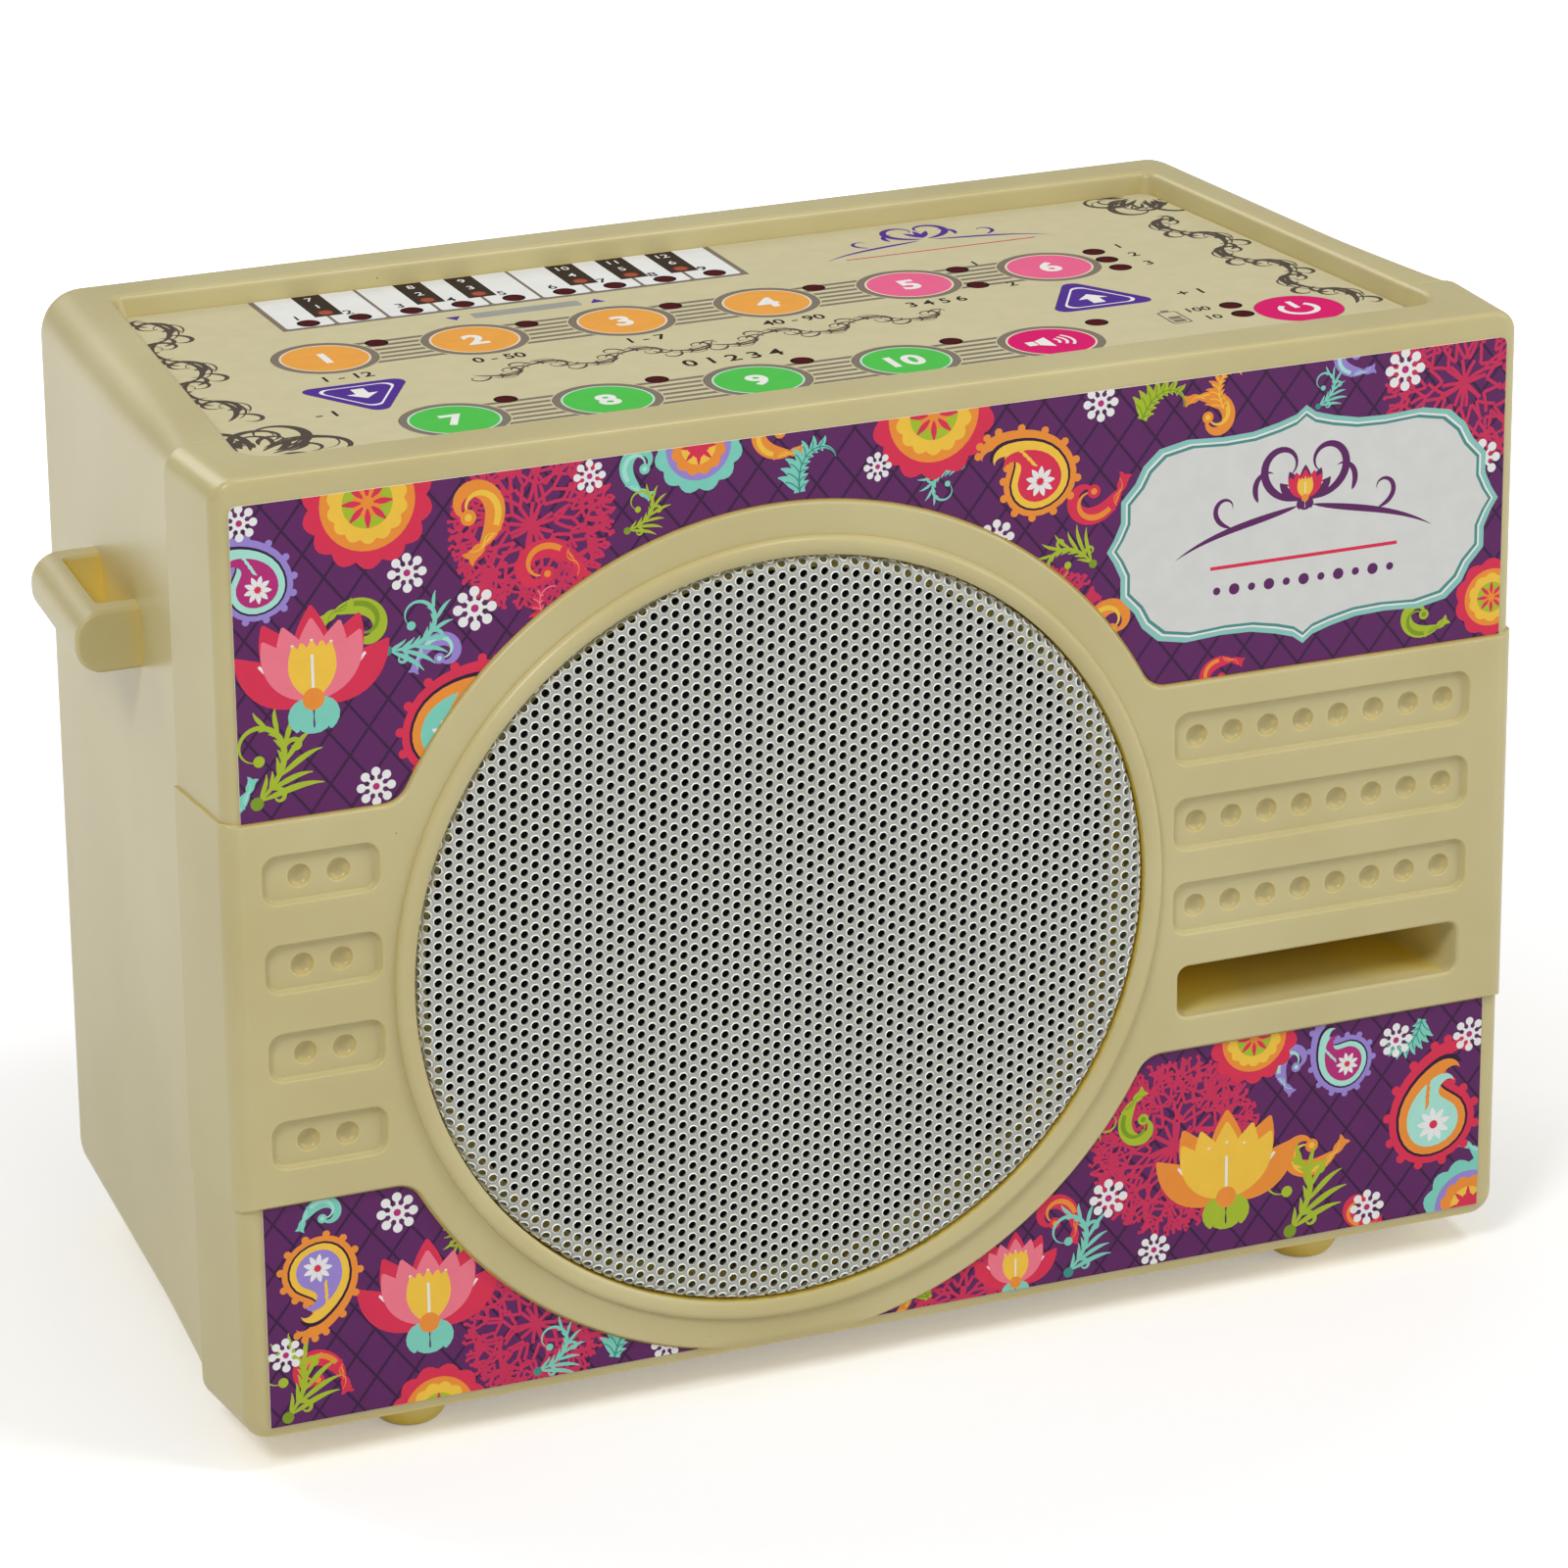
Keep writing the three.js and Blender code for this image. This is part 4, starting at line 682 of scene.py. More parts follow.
def rearCase():
    depth, seam, wall = case["depth"], case["seam"], case["wall"]
    inner, turn = depth - wall, depth - case["backFillet"]
    body = newObject("rearCase", [rearOutside()])
    combine(body, "DIFFERENCE", [loft([hollowRing(halfAt(seam), lowAt(seam), wall, seam - 1),
                                       hollowRing(halfAt(turn), lowAt(turn), wall, turn),
                                       hollowRing(halfAt(inner), lowAt(inner), wall + 1.5, inner)])])
    for side in (-1, 1):
        joined(body, "UNION", strapLug(side))
    combine(body, "UNION", [rod(x, z, towers["radius"], towers["front"], depth - 1) for x, z in towerPlaces])

    def sleeve(inset, front, back):
        return [loft([hollowRing(case["half"], case["below"], inset, y) for y in (front, back)])]
    front, back = case["tongueFront"], case["tongueBack"]
    tongue = newObject("tongue", sleeve(case["tongue"][0], front, back))
    combine(tongue, "DIFFERENCE", sleeve(case["tongue"][1], front - 1, back + 1))
    joined(body, "UNION", tongue)
    combine(body, "DIFFERENCE", [recessCut()])
    combine(body, "DIFFERENCE", keyWells())
    seat, bore, soft = towers["front"] + towers["seat"], towers["bore"], towers["soft"]
    profile = [(0, seat), (bore, seat)] + [(bore + out, depth - left) for out, left in eased(soft, 4)]
    profile += [(bore + soft, depth + 1), (0, depth + 1)]
    cuts = [turned(profile, x, z, 48) for x, z in towerPlaces]
    for x, nose, _ in (sockets["power_inlet"], sockets["line_out"]):
        cuts.append(rod(x, sockets["z"], nose + keyGap, inner - 2, depth + 1))
    combine(body, "DIFFERENCE", cuts)
    pilots = [rod(x, z, towers["pilot"], towers["front"] - 1, seat + 1) for x, z in towerPlaces]
    combine(body, "DIFFERENCE", pilots)
    return finishPiece(body, looks["shell"], "case", ["rear_case"])


frontBezel()
rearCase()
print("shells made")


# The perforated grille: holes punched right across the sheet, also where it rolls over
def holedCell():
    # One hexagonal cell of the sheet: a raised burr round the hole, which widens behind it
    r, thick, sides = grille["pitch"] / sqrt(3), grille["sheet"], 8
    mesh = bpy.data.meshes.new("holedCell")
    bm = bmesh.new()

    def ringOf(radius, y, count, start):
        ways = [start + 2 * pi * k / count for k in range(count)]
        return [bm.verts.new((radius * cos(a) * mm, y * mm, radius * sin(a) * mm)) for a in ways]
    turn = pi / sides
    outer, under = ringOf(r, 0, 6, 0), ringOf(r, thick, 6, 0)
    rings = [ringOf(grille["lip"], 0, sides, turn), ringOf(grille["crest"], -grille["burrAndHighlight"], sides, turn),
             ringOf(grille["hole"], 0, sides, turn), ringOf(grille["lip"], thick, sides, turn)]
    # How much painted highlight each ring of faces gets: all on the burr's outer slope, a little on its inner
    # one
    raised = bm.faces.layers.float.new("burrAndHighlight")
    for level, (a, b) in enumerate(zip(rings, rings[1:])):
        for k in range(sides):
            n = (k + 1) % sides
            bm.faces.new((a[k], a[n], b[n], b[k]))[raised] = (1.0, 0.15, 0.0)[level]
    for flat, ring, front in ((outer, rings[0], True), (under, rings[-1], False)):
        i = j = 0
        while i < 6 or j < sides:
            if j >= sides or (i < 6 and (i + 1) / 6 <= (j + 1) / sides + turn / (2 * pi)):
                face = (flat[i % 6], flat[(i + 1) % 6], ring[j % sides])
                i += 1
            else:
                face = (flat[i % 6], ring[(j + 1) % sides], ring[j % sides])
                j += 1
            bm.faces.new(face if front else face[::-1])
    bm.to_mesh(mesh)
    bm.free()
    return linked("holedCell", mesh)


def perforationTree():
    # Cells on a staggered grid between two radii, then bent round the roll at the sheet's edge
    tree, ids, given = newTree("perforations", {
        "Pitch": "Float", "From Radius": "Float", "To Radius": "Float", "Turn": "Float",
        "Flat Radius": "Float", "Roll Radius": "Float", "Cell": "Object", "Finish": "Material"})
    flat, roll = given["Flat Radius"], given["Roll Radius"]
    count = 2 * int(1.1 * grille["radius"] / (grille["pitch"] * sqrt(3) / 2)) + 3
    middle = (count - 1) / 2

    def calc(operation, a, b=0.0):
        return addNode(tree, "ShaderNodeMath", {0: a, 1: b}, operation=operation).outputs[0]
    sides = {"Size X": 1.0, "Size Y": 1.0, "Vertices X": count, "Vertices Y": count}
    grid = addNode(tree, "GeometryNodeMeshGrid", sides).outputs[0]
    index = addNode(tree, "GeometryNodeInputIndex").outputs[0]
    column = calc("FLOOR", calc("DIVIDE", index, float(count)))
    row = calc("SUBTRACT", index, calc("MULTIPLY", column, float(count)))
    step = calc("MULTIPLY", calc("MODULO", column, 2.0), 0.5)
    x = calc("MULTIPLY", calc("SUBTRACT", column, middle), calc("MULTIPLY", given["Pitch"], sqrt(3) / 2))
    z = calc("MULTIPLY", calc("ADD", calc("SUBTRACT", row, middle), step), given["Pitch"])
    spot = addNode(tree, "ShaderNodeCombineXYZ", {0: x, 2: z}).outputs[0]
    staggered = addNode(tree, "GeometryNodeSetPosition", {"Geometry": grid, "Position": spot}).outputs[0]
    position = addNode(tree, "GeometryNodeInputPosition").outputs[0]
    here = addNode(tree, "ShaderNodeSeparateXYZ", {0: position}).outputs
    squares = [calc("MULTIPLY", here[i], here[i]) for i in (0, 2)]
    reach = calc("SQRT", calc("ADD", *squares))
    outside = calc("MAXIMUM", calc("LESS_THAN", reach, given["From Radius"]),
                   calc("SUBTRACT", 1.0, calc("LESS_THAN", reach, given["To Radius"])))
    chosen = {"Geometry": staggered, "Selection": outside}
    kept = addNode(tree, "GeometryNodeDeleteGeometry", chosen, domain="POINT").outputs[0]
    cell = addNode(tree, "GeometryNodeObjectInfo", {"Object": given["Cell"]}).outputs["Geometry"]
    cells = addNode(tree, "GeometryNodeInstanceOnPoints", {"Points": kept, "Instance": cell}).outputs[0]
    real = addNode(tree, "GeometryNodeRealizeInstances", {0: cells}).outputs[0]
    sewn = addNode(tree, "GeometryNodeMergeByDistance", {"Geometry": real, "Distance": 0.02 * mm}).outputs[0]
    beyond = calc("SUBTRACT", reach, flat)
    angle = calc("MINIMUM", calc("MAXIMUM", calc("DIVIDE", beyond, roll), 0.0), pi / 2)
    past = calc("MAXIMUM", calc("SUBTRACT", beyond, calc("MULTIPLY", roll, pi / 2)), 0.0)
    arm = calc("SUBTRACT", roll, here[1])
    bentReach = calc("ADD", calc("MINIMUM", reach, flat), calc("MULTIPLY", arm, calc("SINE", angle)))
    bentDepth = calc("ADD", calc("SUBTRACT", roll, calc("MULTIPLY", arm, calc("COSINE", angle))), past)
    share = calc("DIVIDE", bentReach, calc("MAXIMUM", reach, 0.0001))
    bent = addNode(tree, "ShaderNodeCombineXYZ", {
        0: calc("MULTIPLY", here[0], share), 1: bentDepth, 2: calc("MULTIPLY", here[2], share)}).outputs[0]
    shaped = addNode(tree, "GeometryNodeSetPosition", {"Geometry": sewn, "Position": bent}).outputs[0]
    turn = addNode(tree, "ShaderNodeCombineXYZ", {1: given["Turn"]}).outputs[0]
    seat = {"Geometry": shaped, "Rotation": turn, "Translation": inRow((speakerX, -grilleProud, 0))}
    laid = addNode(tree, "GeometryNodeTransform", seat).outputs[0]
    finish = {"Geometry": laid, "Material": given["Finish"]}
    addNode(tree, "NodeGroupOutput", {0: addNode(tree, "GeometryNodeSetMaterial", finish).outputs[0]})
    return tree, ids


def speakerGrille():
    cell = holedCell()
    tree, ids = perforationTree()
    roll, sheet, radius, field = grille["roll"], grille["sheet"], grille["radius"], grille["field"]
    flat, gap = radius - roll, grille["skirtGap"]
    for name, start, end in (("grilleField", -1, field), ("grilleEdge", field, grille["last"])):
        piece = grown(linked(name, bpy.data.meshes.new(name)), tree, ids, {
            "Pitch": grille["pitch"] * mm, "From Radius": start * mm, "To Radius": end * mm,
            "Turn": radians(grille["turn"]), "Flat Radius": flat * mm, "Roll Radius": roll * mm,
            "Cell": cell, "Finish": looks["grille"]})
        finishPiece(piece, looks["grille"], "case", ["speaker_grille"], sharp=38, weighted=False)
        print(name, "made:", sum(len(p.vertices) - 2 for p in piece.data.polygons), "triangles")
    bpy.data.objects.remove(cell)
    # The plain skirt behind the last holes, which stands in the bezel's groove
    start, face, inner = radians(grille["skirtFrom"]), -grilleProud, roll - sheet
    ways = [start + (pi / 2 - start) * k / 4 for k in range(5)]
    profile = [(flat + roll * sin(a) - gap, face + roll * (1 - cos(a)) + gap) for a in ways]
    profile += [(radius, face + grille["skirt"]), (radius - sheet, face + grille["skirt"])]
    profile += [(flat + inner * sin(a), face + roll - inner * cos(a)) for a in ways[::-1]]
    skirt = newObject("grilleSkirt", [turned(profile + profile[:1], speakerX, 0, 160)])
    finishPiece(skirt, looks["grille"], "case", [])


speakerGrille()


# Printing: shapes are polygons with an ink, laid one over another
def wayOf(x, y, heading, length, bendStart, bendEnd, steps=14):
    # A path that starts at x, y and turns by degrees per step, from one bend to the other
    points, angle = [(x, y)], radians(heading)
    for k in range(steps):
        angle += radians(bendStart + (bendEnd - bendStart) * (k + 0.5) / steps) / steps
        x += cos(angle) * length / steps
        y += sin(angle) * length / steps
        points.append((x, y))
    return points


def ribbonOver(points, widths):
    # A band along a path as one quad per step, so that it may cross itself
    left, right = [], []
    for i, p in enumerate(points):
        a, b = points[max(i - 1, 0)], points[min(i + 1, len(points) - 1)]
        span = hypot(b[0] - a[0], b[1] - a[1]) or 1
        nx, ny = (a[1] - b[1]) / span, (b[0] - a[0]) / span
        w = max(widths[i], 0.03) / 2
        left.append((p[0] + nx * w, p[1] + ny * w))
        right.append((p[0] - nx * w, p[1] - ny * w))
    return [[left[i], left[i + 1], right[i + 1], right[i]] for i in range(len(points) - 1)]


profiles = {
    "line": lambda t: 1.0,
    "taper": lambda t: 1 - 0.9 * t,
    "leaf": lambda t: sin(pi * min(1, t * 0.98 + 0.02)) ** 0.8,
    "swash": lambda t: sin(pi * t ** 0.7) ** 0.9 + 0.05,
}


def stroke(x, y, heading, length, bend, width, shape, colour, steps=14):
    start, end = bend if isinstance(bend, tuple) else (bend, bend)
    path = wayOf(x, y, heading, length, start, end, steps)
    count = len(path) - 1
    return ribbonOver(path, [width * profiles[shape](k / count) for k in range(count + 1)]), colour


def disc(x, y, radius, colour, sides=20):
    return [circle(x, y, radius, sides)], colour


def scallop(radius, lobes, deep, colour):
    ways = [2 * pi * k / (lobes * 5) for k in range(lobes * 5)]
    reach = [radius + deep * abs(sin(lobes * a / 2)) for a in ways]
    return [[(r * cos(a), r * sin(a)) for r, a in zip(reach, ways)]], colour


def moved(art, x, y, scale=1.0, turn=0.0, mirror=False):
    c, s = cos(radians(turn)) * scale, sin(radians(turn)) * scale
    side = -1 if mirror else 1

    def shift(poly):
        return [(x + c * side * u - s * v, y + s * side * u + c * v) for u, v in poly]
    return [([shift(poly) for poly in polys], colour) for polys, colour in art]


def mirrored(art):
    return art + moved(art, 0, 0, mirror=True)


figureHeight = 0.73  # of the built-in typeface, at size 1


def glyphs(text, x, y, height, colour, bold=0.0):
    # Figures in the built-in typeface, centred on x, y and as high as asked
    curve = bpy.data.curves.new("figures", "FONT")
    curve.body, curve.offset, curve.resolution_u = text, bold, 4
    obj = linked("figures", curve)
    mesh = bpy.data.meshes.new_from_object(obj.evaluated_get(bpy.context.evaluated_depsgraph_get()))
    bpy.data.objects.remove(obj)
    xs, ys = [v.co.x for v in mesh.vertices], [v.co.y for v in mesh.vertices]
    mx, my, size = (min(xs) + max(xs)) / 2, (min(ys) + max(ys)) / 2, height / figureHeight
    places = [((u - mx) * size, (v - my) * size) for u, v in zip(xs, ys)]
    polys = [[places[i] for i in p.vertices] for p in mesh.polygons]
    bpy.data.meshes.remove(mesh)
    return moved([(polys, colour)], x, y)[0]


def signedArea(poly):
    return sum(poly[i - 1][0] * poly[i][1] - poly[i][0] * poly[i - 1][1] for i in range(len(poly))) / 2


def printedSheet(name, outline, ground, art, low, high, upright, holes=(), edge="#E9E6DC"):
    # A thin sheet whose front is cut along every printed edge, so that each face has one ink
    points, faces, fills = [], [], []
    for polys, colour in [([outline], ground)] + art + [(list(holes), None)]:
        for poly in polys:
            area = signedArea(poly)
            if abs(area) < 1e-4:
                continue
            faces.append(list(range(len(points), len(points) + len(poly))))
            points += [Vector(p) for p in (poly if area > 0 else poly[::-1])]
            fills.append(colour)
    made = geometry.delaunay_2d_cdt(points, [], faces, 1, 1e-4)
    corners, triangles, origins = made[0], made[2], made[5]
    kept = [(tri, fills[max(o)]) for tri, o in zip(triangles, origins) if 0 in o and fills[max(o)]]
    used = sorted({i for tri, _ in kept for i in tri})
    index = {v: k for k, v in enumerate(used)}
    count = len(used)

    def lift(p, level):
        return inRow((p[0], p[1], level) if upright else (p[0], level, p[1]))

    flip = 1 if upright else -1
    polygons, painted, border = [], [], {}
    for tri, colour in kept:
        t = [index[i] for i in tri]
        polygons.append(tuple(t[::flip]))
        painted.append(colour)
        for a, b in zip(t, t[1:] + t[:1]):
            if (b, a) in border:
                del border[(b, a)]
            else:
                border[(a, b)] = True
    # The back is one face inside the sheet's edge, or follows the front where there are holes
    ahead = {a: b for a, b in border}
    loop = [next(iter(ahead))]
    while ahead[loop[-1]] != loop[0] and len(loop) < len(border):
        loop.append(ahead[loop[-1]])
    whole = len(loop) == len(border)
    doubled = loop if whole else range(count)
    behind = {i: count + k for k, i in enumerate(doubled)}
    if whole:
        polygons.append(tuple(behind[i] for i in loop)[::-flip])
    else:
        polygons += [tuple(behind[i] for i in polygon)[::-1] for polygon in polygons]
    polygons += [(behind[a], behind[b], b, a)[::flip] for a, b in border]
    painted += [edge] * (len(polygons) - len(painted))
    vertices = [lift(corners[i], high) for i in used] + [lift(corners[used[i]], low) for i in doubled]
    mesh = bpy.data.meshes.new(name)
    mesh.from_pydata(vertices, [], polygons)
    colours = mesh.color_attributes.new("ink", "FLOAT_COLOR", "CORNER")
    linear = {code: ink(code) for code in set(painted)}
    values = []
    for polygon, code in zip(mesh.polygons, painted):
        values += linear[code] * polygon.loop_total
    colours.data.foreach_set("color", values)
    mesh.validate()
    return linked(name, mesh)


inks = {"film": "#D2C9A2", "grey": "#84796C", "dark": "#2B2420", "lamp": "#4E0A12", "lampRing": "#160708",
        "amber": "#F0A84C", "green": "#55C653", "pink": "#EF6A93", "crimson": "#DE1D6E", "violet": "#553394",
        "white": "#F1F1EA", "ornament": "#574D45", "mint": "#C9E8D2", "peach": "#F0DCC0", "strip": "#EDEDE9",
        "black": "#3A3029", "bar": "#A3A39B", "rust": "#6E2A20", "copper": "#A9573F", "red": "#C9475F"}


# The keypad's film: rings and staves that join the keys, a keyboard strip, lamps and scrollwork
overlay = {"ring": 7.0, "disc": 5.9, "line": 0.85, "linePitch": 1.83, "lines": 6, "lamp": 1.5,
           "stripLeft": -58.3, "stripFront": 70.0, "stripBack": 86.3, "whitePitch": 7.45, "whites": 9,
           "blackWidth": 4.1, "blackFront": 74.0, "blacks": (-50.9, -36.1, -28.6, -13.6, -6.1, 1.4),
           "studLevel": 75.7, "stripLampX": -54.75, "stripLampLevel": 71.7}
lampPlaces = [(x, 59.0) for x in (-49.5, -27.9, -6.9, 14.4, 36.1)]
lampPlaces += [(35.5, 50.8), (57.2, 59.3), (57.2, 55.0), (57.2, 50.6)]
lampPlaces += [(x, 27.4) for x in (-42.9, -21.6, -0.8, 20.9, 42.5)] + [(62.6, 27.2), (62.3, 22.9)]
lampPlaces += [(overlay["stripLampX"] + overlay["whitePitch"] * i, overlay["stripLampLevel"])
               for i in range(overlay["whites"])]
# Plain figures where the legends are: text, place and height
figures = (("1 - 12", -58.2, 45.7, 2.3), ("0 - 50", -36.9, 45.7, 2.3), ("1 - 7", -15.6, 45.7, 2.3),
           ("40 - 90", 5.7, 45.7, 2.3), ("3 4 5 6", 27.0, 45.7, 2.3), ("0 1 2 3 4", -8.6, 32.6, 2.9),
           ("- 1", -66.6, 30.7, 2.4), ("+ 1", 60.4, 35.4, 2.4), ("1", 39.6, 61.0, 2.0),
           ("2", 40.0, 49.4, 2.0), ("1", 61.6, 60.6, 2.0), ("2", 61.8, 56.0, 2.0), ("3", 61.8, 51.2, 2.0),
           ("100", 57.8, 27.4, 1.9), ("10", 58.2, 23.2, 1.9))


def curls(runs, colour, side=1, x=0.0, pitch=1.0, weight=1.0):
    # Strokes given by a start, a heading, a length, a bend, a width, a shape and a count of steps
    return [stroke(x + pitch * dx, side * pitch * dy, side * heading, pitch * reach,
                   (side * bend[0], side * bend[1]), width * weight, shape, colour, steps)
            for dx, dy, heading, reach, bend, width, shape, steps in runs]


def vineEdge(length, count, seed, weight):
    # A run of curls that swings from side to side along its own x axis, with filled leaves
    rng = random.Random(seed)
    art, pitch = [], length / count
    for i in range(count):
        lean = 100 + rng.uniform(-12, 12)
        runs = ((0, 0, 50, 1.45, (-110, -130), 0.8, "swash", 16),
                (0.06, 0.16, 50, 1.25, (-105, -130), 0.3, "swash", 14),
                (0.35, 0.22, 30, 1.5, (-60, -640), 0.85, "swash", 26),
                (0.32, 0.36, 34, 1.15, (-60, -520), 0.3, "swash", 20),
                (0.3, 0.2, lean, 0.8, (60, 420), 0.7, "swash", 20),
                (0.8, 0, -70, 0.6, (60, 300), 0.7, "swash", 16),
                (0.52, 0.12, 70, 0.34, (60, 90), 0.8, "swash", 10))
        art += curls(runs, inks["ornament"], 1 if i % 2 else -1, i * pitch, pitch, weight)
    return art


def scrollCluster(seed):
    # Curls that spring from one corner, each with a thin line beside it and a leaf at its root
    rng = random.Random(seed)
    art = []
    for k, heading in enumerate((-8, 18, 44, 70, 96, 122)):
        length, turn = 17 - 1.3 * k + rng.uniform(-1, 1), (1 if k % 2 else -1)
        rootX, rootY = 2.4 * cos(radians(heading)), 2.4 * sin(radians(heading))
        runs = ((0, 0, 0, 1.0, (30, 520), 0.72, "swash", 34),
                (0.3, 0.7, 2, 0.84, (30, 480), 0.26, "swash", 28),
                (1.2, 1.2, 16, 0.42, (-50, -420), 0.5, "swash", 20),
                (0.6, 0.6, 8, 0.24, (50, 70), 0.8, "leaf", 8))
        for dx, dy, lean, reach, bend, width, shape, steps in runs:
            art.append(stroke(rootX + dx, rootY + dy, heading + lean, length * reach,
                              (turn * bend[0], turn * bend[1]), width, shape, inks["ornament"], steps))
    return art


scrollwork = ((vineEdge, (48, 5, 3, 1.0), -79.2, 33, 1, 85), (scrollCluster, (7,), -81.8, 16.5, 1.5),
              (vineEdge, (50, 6, 4, 1.0), 78.6, 21, 1, 96), (scrollCluster, (9,), 76.6, 83.6, 1.1, 180),
              (vineEdge, (34, 5, 5, 0.6), -9, 39.8, 1, 2), (vineEdge, (34, 5, 6, 0.6), -43, 39.4, 1, 1))


def laidOut(places, colours):
    # Each place: the motif, what it is drawn with, x, y, and maybe a size, a turn and a mirroring
    return [a for motif, given, *place in places
            for a in moved(motif(*[colours.get(g, g) for g in given]), *place)]


def keyboardStrip():
    o, dark, white = overlay, inks["dark"], inks["white"]
    left, front, back, pitch = o["stripLeft"], o["stripFront"], o["stripBack"], o["whitePitch"]
    right = left + pitch * o["whites"] - 0.6
    art = [([box2(left - 0.9, right + 0.9, front - 0.9, back)], inks["grey"])]
    for i in range(o["whites"]):
        x = left + pitch * (i + 0.5) - 0.3
        shape = box2(x - pitch / 2 + 0.25, x + pitch / 2 - 0.25, front, back - 0.1)
        art += [([rounded(shape, 0.5, 3)], inks["strip"]),
                glyphs(str(i + 1), x - 0.6, front + 4.6, 2.0, dark, 0.015)]
    half = o["blackWidth"] / 2
    for x in o["blacks"]:
        art += [([box2(x - half, x + half, o["blackFront"], back - 0.1)], inks["black"]),
                disc(x, o["studLevel"], 1.25, inks["rust"]),
                disc(x, o["studLevel"], 0.95, inks["copper"], 16)]
    for i, x in enumerate(o["blacks"]):
        art += [glyphs(str(i + first), x, level, 1.7, white, 0.01) for first, level in ((1, 79.0), (7, 82.6))]
    return art


def filmFlourish():
    # A flourish of no meaning for the free corner of the film
    runs = ((0.4, 0, 10, 14, (70, 520), 1.0, "swash", 26), (1, -0.6, -12, 17, (20, -60), 0.7, "swash", 14),
            (5, 0.6, 60, 4.5, (60, 200), 0.7, "swash", 14), (9, -1.2, 20, 6, (60, 420), 0.55, "swash", 20))
    art = mirrored(curls(runs, inks["violet"])) + [disc(0, 1.6, 0.8, inks["crimson"])]
    return art + [stroke(0, 0.6, a, 3.6, 0, 1.0, "leaf", inks["violet"], 8) for a in (60, 90, 120)]


def filmArt():
    art = []
    o, grey, film = overlay, inks["grey"], inks["film"]
    for row in (keys[:6], keys[6:11]):
        for i in range(o["lines"]):
            level = row[0]["y"] + (i - (o["lines"] - 1) / 2) * o["linePitch"]
            low, high = level - o["line"] / 2, level + o["line"] / 2
            art += [([box2(a["x"] + 4, b["x"] - 4, low, high)], grey) for a, b in zip(row, row[1:])]
    for key in keys[:11]:
        art += [disc(key["x"], key["y"], o["ring"] + 0.5, film, 48),
                disc(key["x"], key["y"], o["ring"] + 0.26, grey, 64)]
    art += keyboardStrip()
    # Bar and its two small arrows
    art.append(([rounded(box2(-33.3, -17.6, 64.4, 66.9), 0.3, 3)], inks["bar"]))
    for x, up in ((-35.9, -1), (-15.2, 1)):
        level = 65.6 - up * 0.8
        art.append(([[(x - up * 1.1, level), (x + up * 1.1, level), (x, 65.6 + up * 1.0)]], inks["violet"]))
    art += [glyphs(*figure, inks["dark"], 0.02) for figure in figures]
    # Battery sign
    art += [([rounded(box2(51.6, 54.6, 22.2, 28.0), 0.5, 4)], grey),
            ([rounded(box2(51.9, 54.3, 22.5, 27.7), 0.35, 4)], film), ([box2(52.5, 53.7, 28.0, 28.7)], grey)]
    art += [([box2(52.2, 54.0, 22.9 + 1.5 * k, 24.1 + 1.5 * k)], grey) for k in range(2)]
    for x, y in lampPlaces:
        art += [disc(x, y, o["lamp"] + 0.12, inks["lampRing"], 28),
                disc(x, y, o["lamp"] - 0.22, inks["lamp"], 24)]
    art += laidOut(scrollwork, inks) + moved(filmFlourish(), 38.5, 75.5)
    return art + [([box2(24, 53, 69.6, 70.0)], inks["red"])]


def keySlot(key):
    number = keys.index(key) + 1
    if "arrow" in key:
        return "violet"
    return "amber" if number <= 4 else "pink" if number <= 6 else "green" if number <= 10 else "crimson"


def keyArt(key):
    # The ground of a key's cap, and what is printed on it
    x, y, white = key["x"], key["y"], inks["white"]
    if "arrow" in key:
        up, size = key["arrow"], rows["arrow"]
        head = [(-2.2, 0.2), (0, 2.4), (2.2, 0.2), (0.9, 0.2), (0.9, -2.0), (-0.9, -2.0), (-0.9, 0.2)]
        return inks["violet"], [([triangle(x, y, size - 3.4, up, 0)], white),
                                ([triangle(x, y, size - 4.4, up, 0)], inks["violet"]),
                                ([[(x + u, y - up * 0.2 + up * v) for u, v in head]], white)]
    if key["name"] == "power":
        ring = ribbonOver(arcPoints(0, 0, 2.5, radians(130), radians(410), 24), [0.85] * 25)
        return inks["crimson"], moved([(ring, white), ([box2(-0.42, 0.42, 0.4, 3.6)], white)], x, y)
    number = keys.index(key) + 1
    art = [disc(x, y, overlay["disc"] + 0.28, inks["mint" if 7 <= number <= 10 else "peach"], 48),
           disc(x, y, overlay["disc"], inks[keySlot(key)], 48)]
    if key["name"] == "mute":
        horn = [([box2(-3.2, -1.9, -0.9, 0.9)], white),
                ([[(-1.7, -1.0), (0.2, -2.2), (0.2, 2.2), (-1.7, 1.0)]], white)]
        horn += [(ribbonOver(arcPoints(0, 0, r, -0.7, 0.7, 10), [0.42] * 11), white) for r in (1.5, 2.5, 3.5)]
        return inks["grey"], art + moved(horn, x - 0.4, y)
    return inks["grey"], art + [glyphs(str(number), x, y, 4.4, white, 0.035)]


def keypad():
    holes = [keyOutline(key, keyGap) for key in keys]
    sheet = printedSheet("keypadFilm", recessOutline(recess["draft"] + 0.12), inks["film"], filmArt(),
                         floorHeight, filmTop, True, holes, inks["film"])
    finishPiece(sheet, looks["film"], "case", ["keypad_film"], weighted=False)
    print("film made:", len(sheet.data.polygons), "faces")
    for key in keys:
        ground, art = keyArt(key)
        cap = printedSheet("keycap_" + key["name"], keyOutline(key, keyGap - keyShow), ground, art,
                           floorHeight, filmTop, True, (), inks["film"])
        node = "key_" + key["name"]
        finishPiece(cap, looks["film"], node, [node], weighted=False)


keypad()


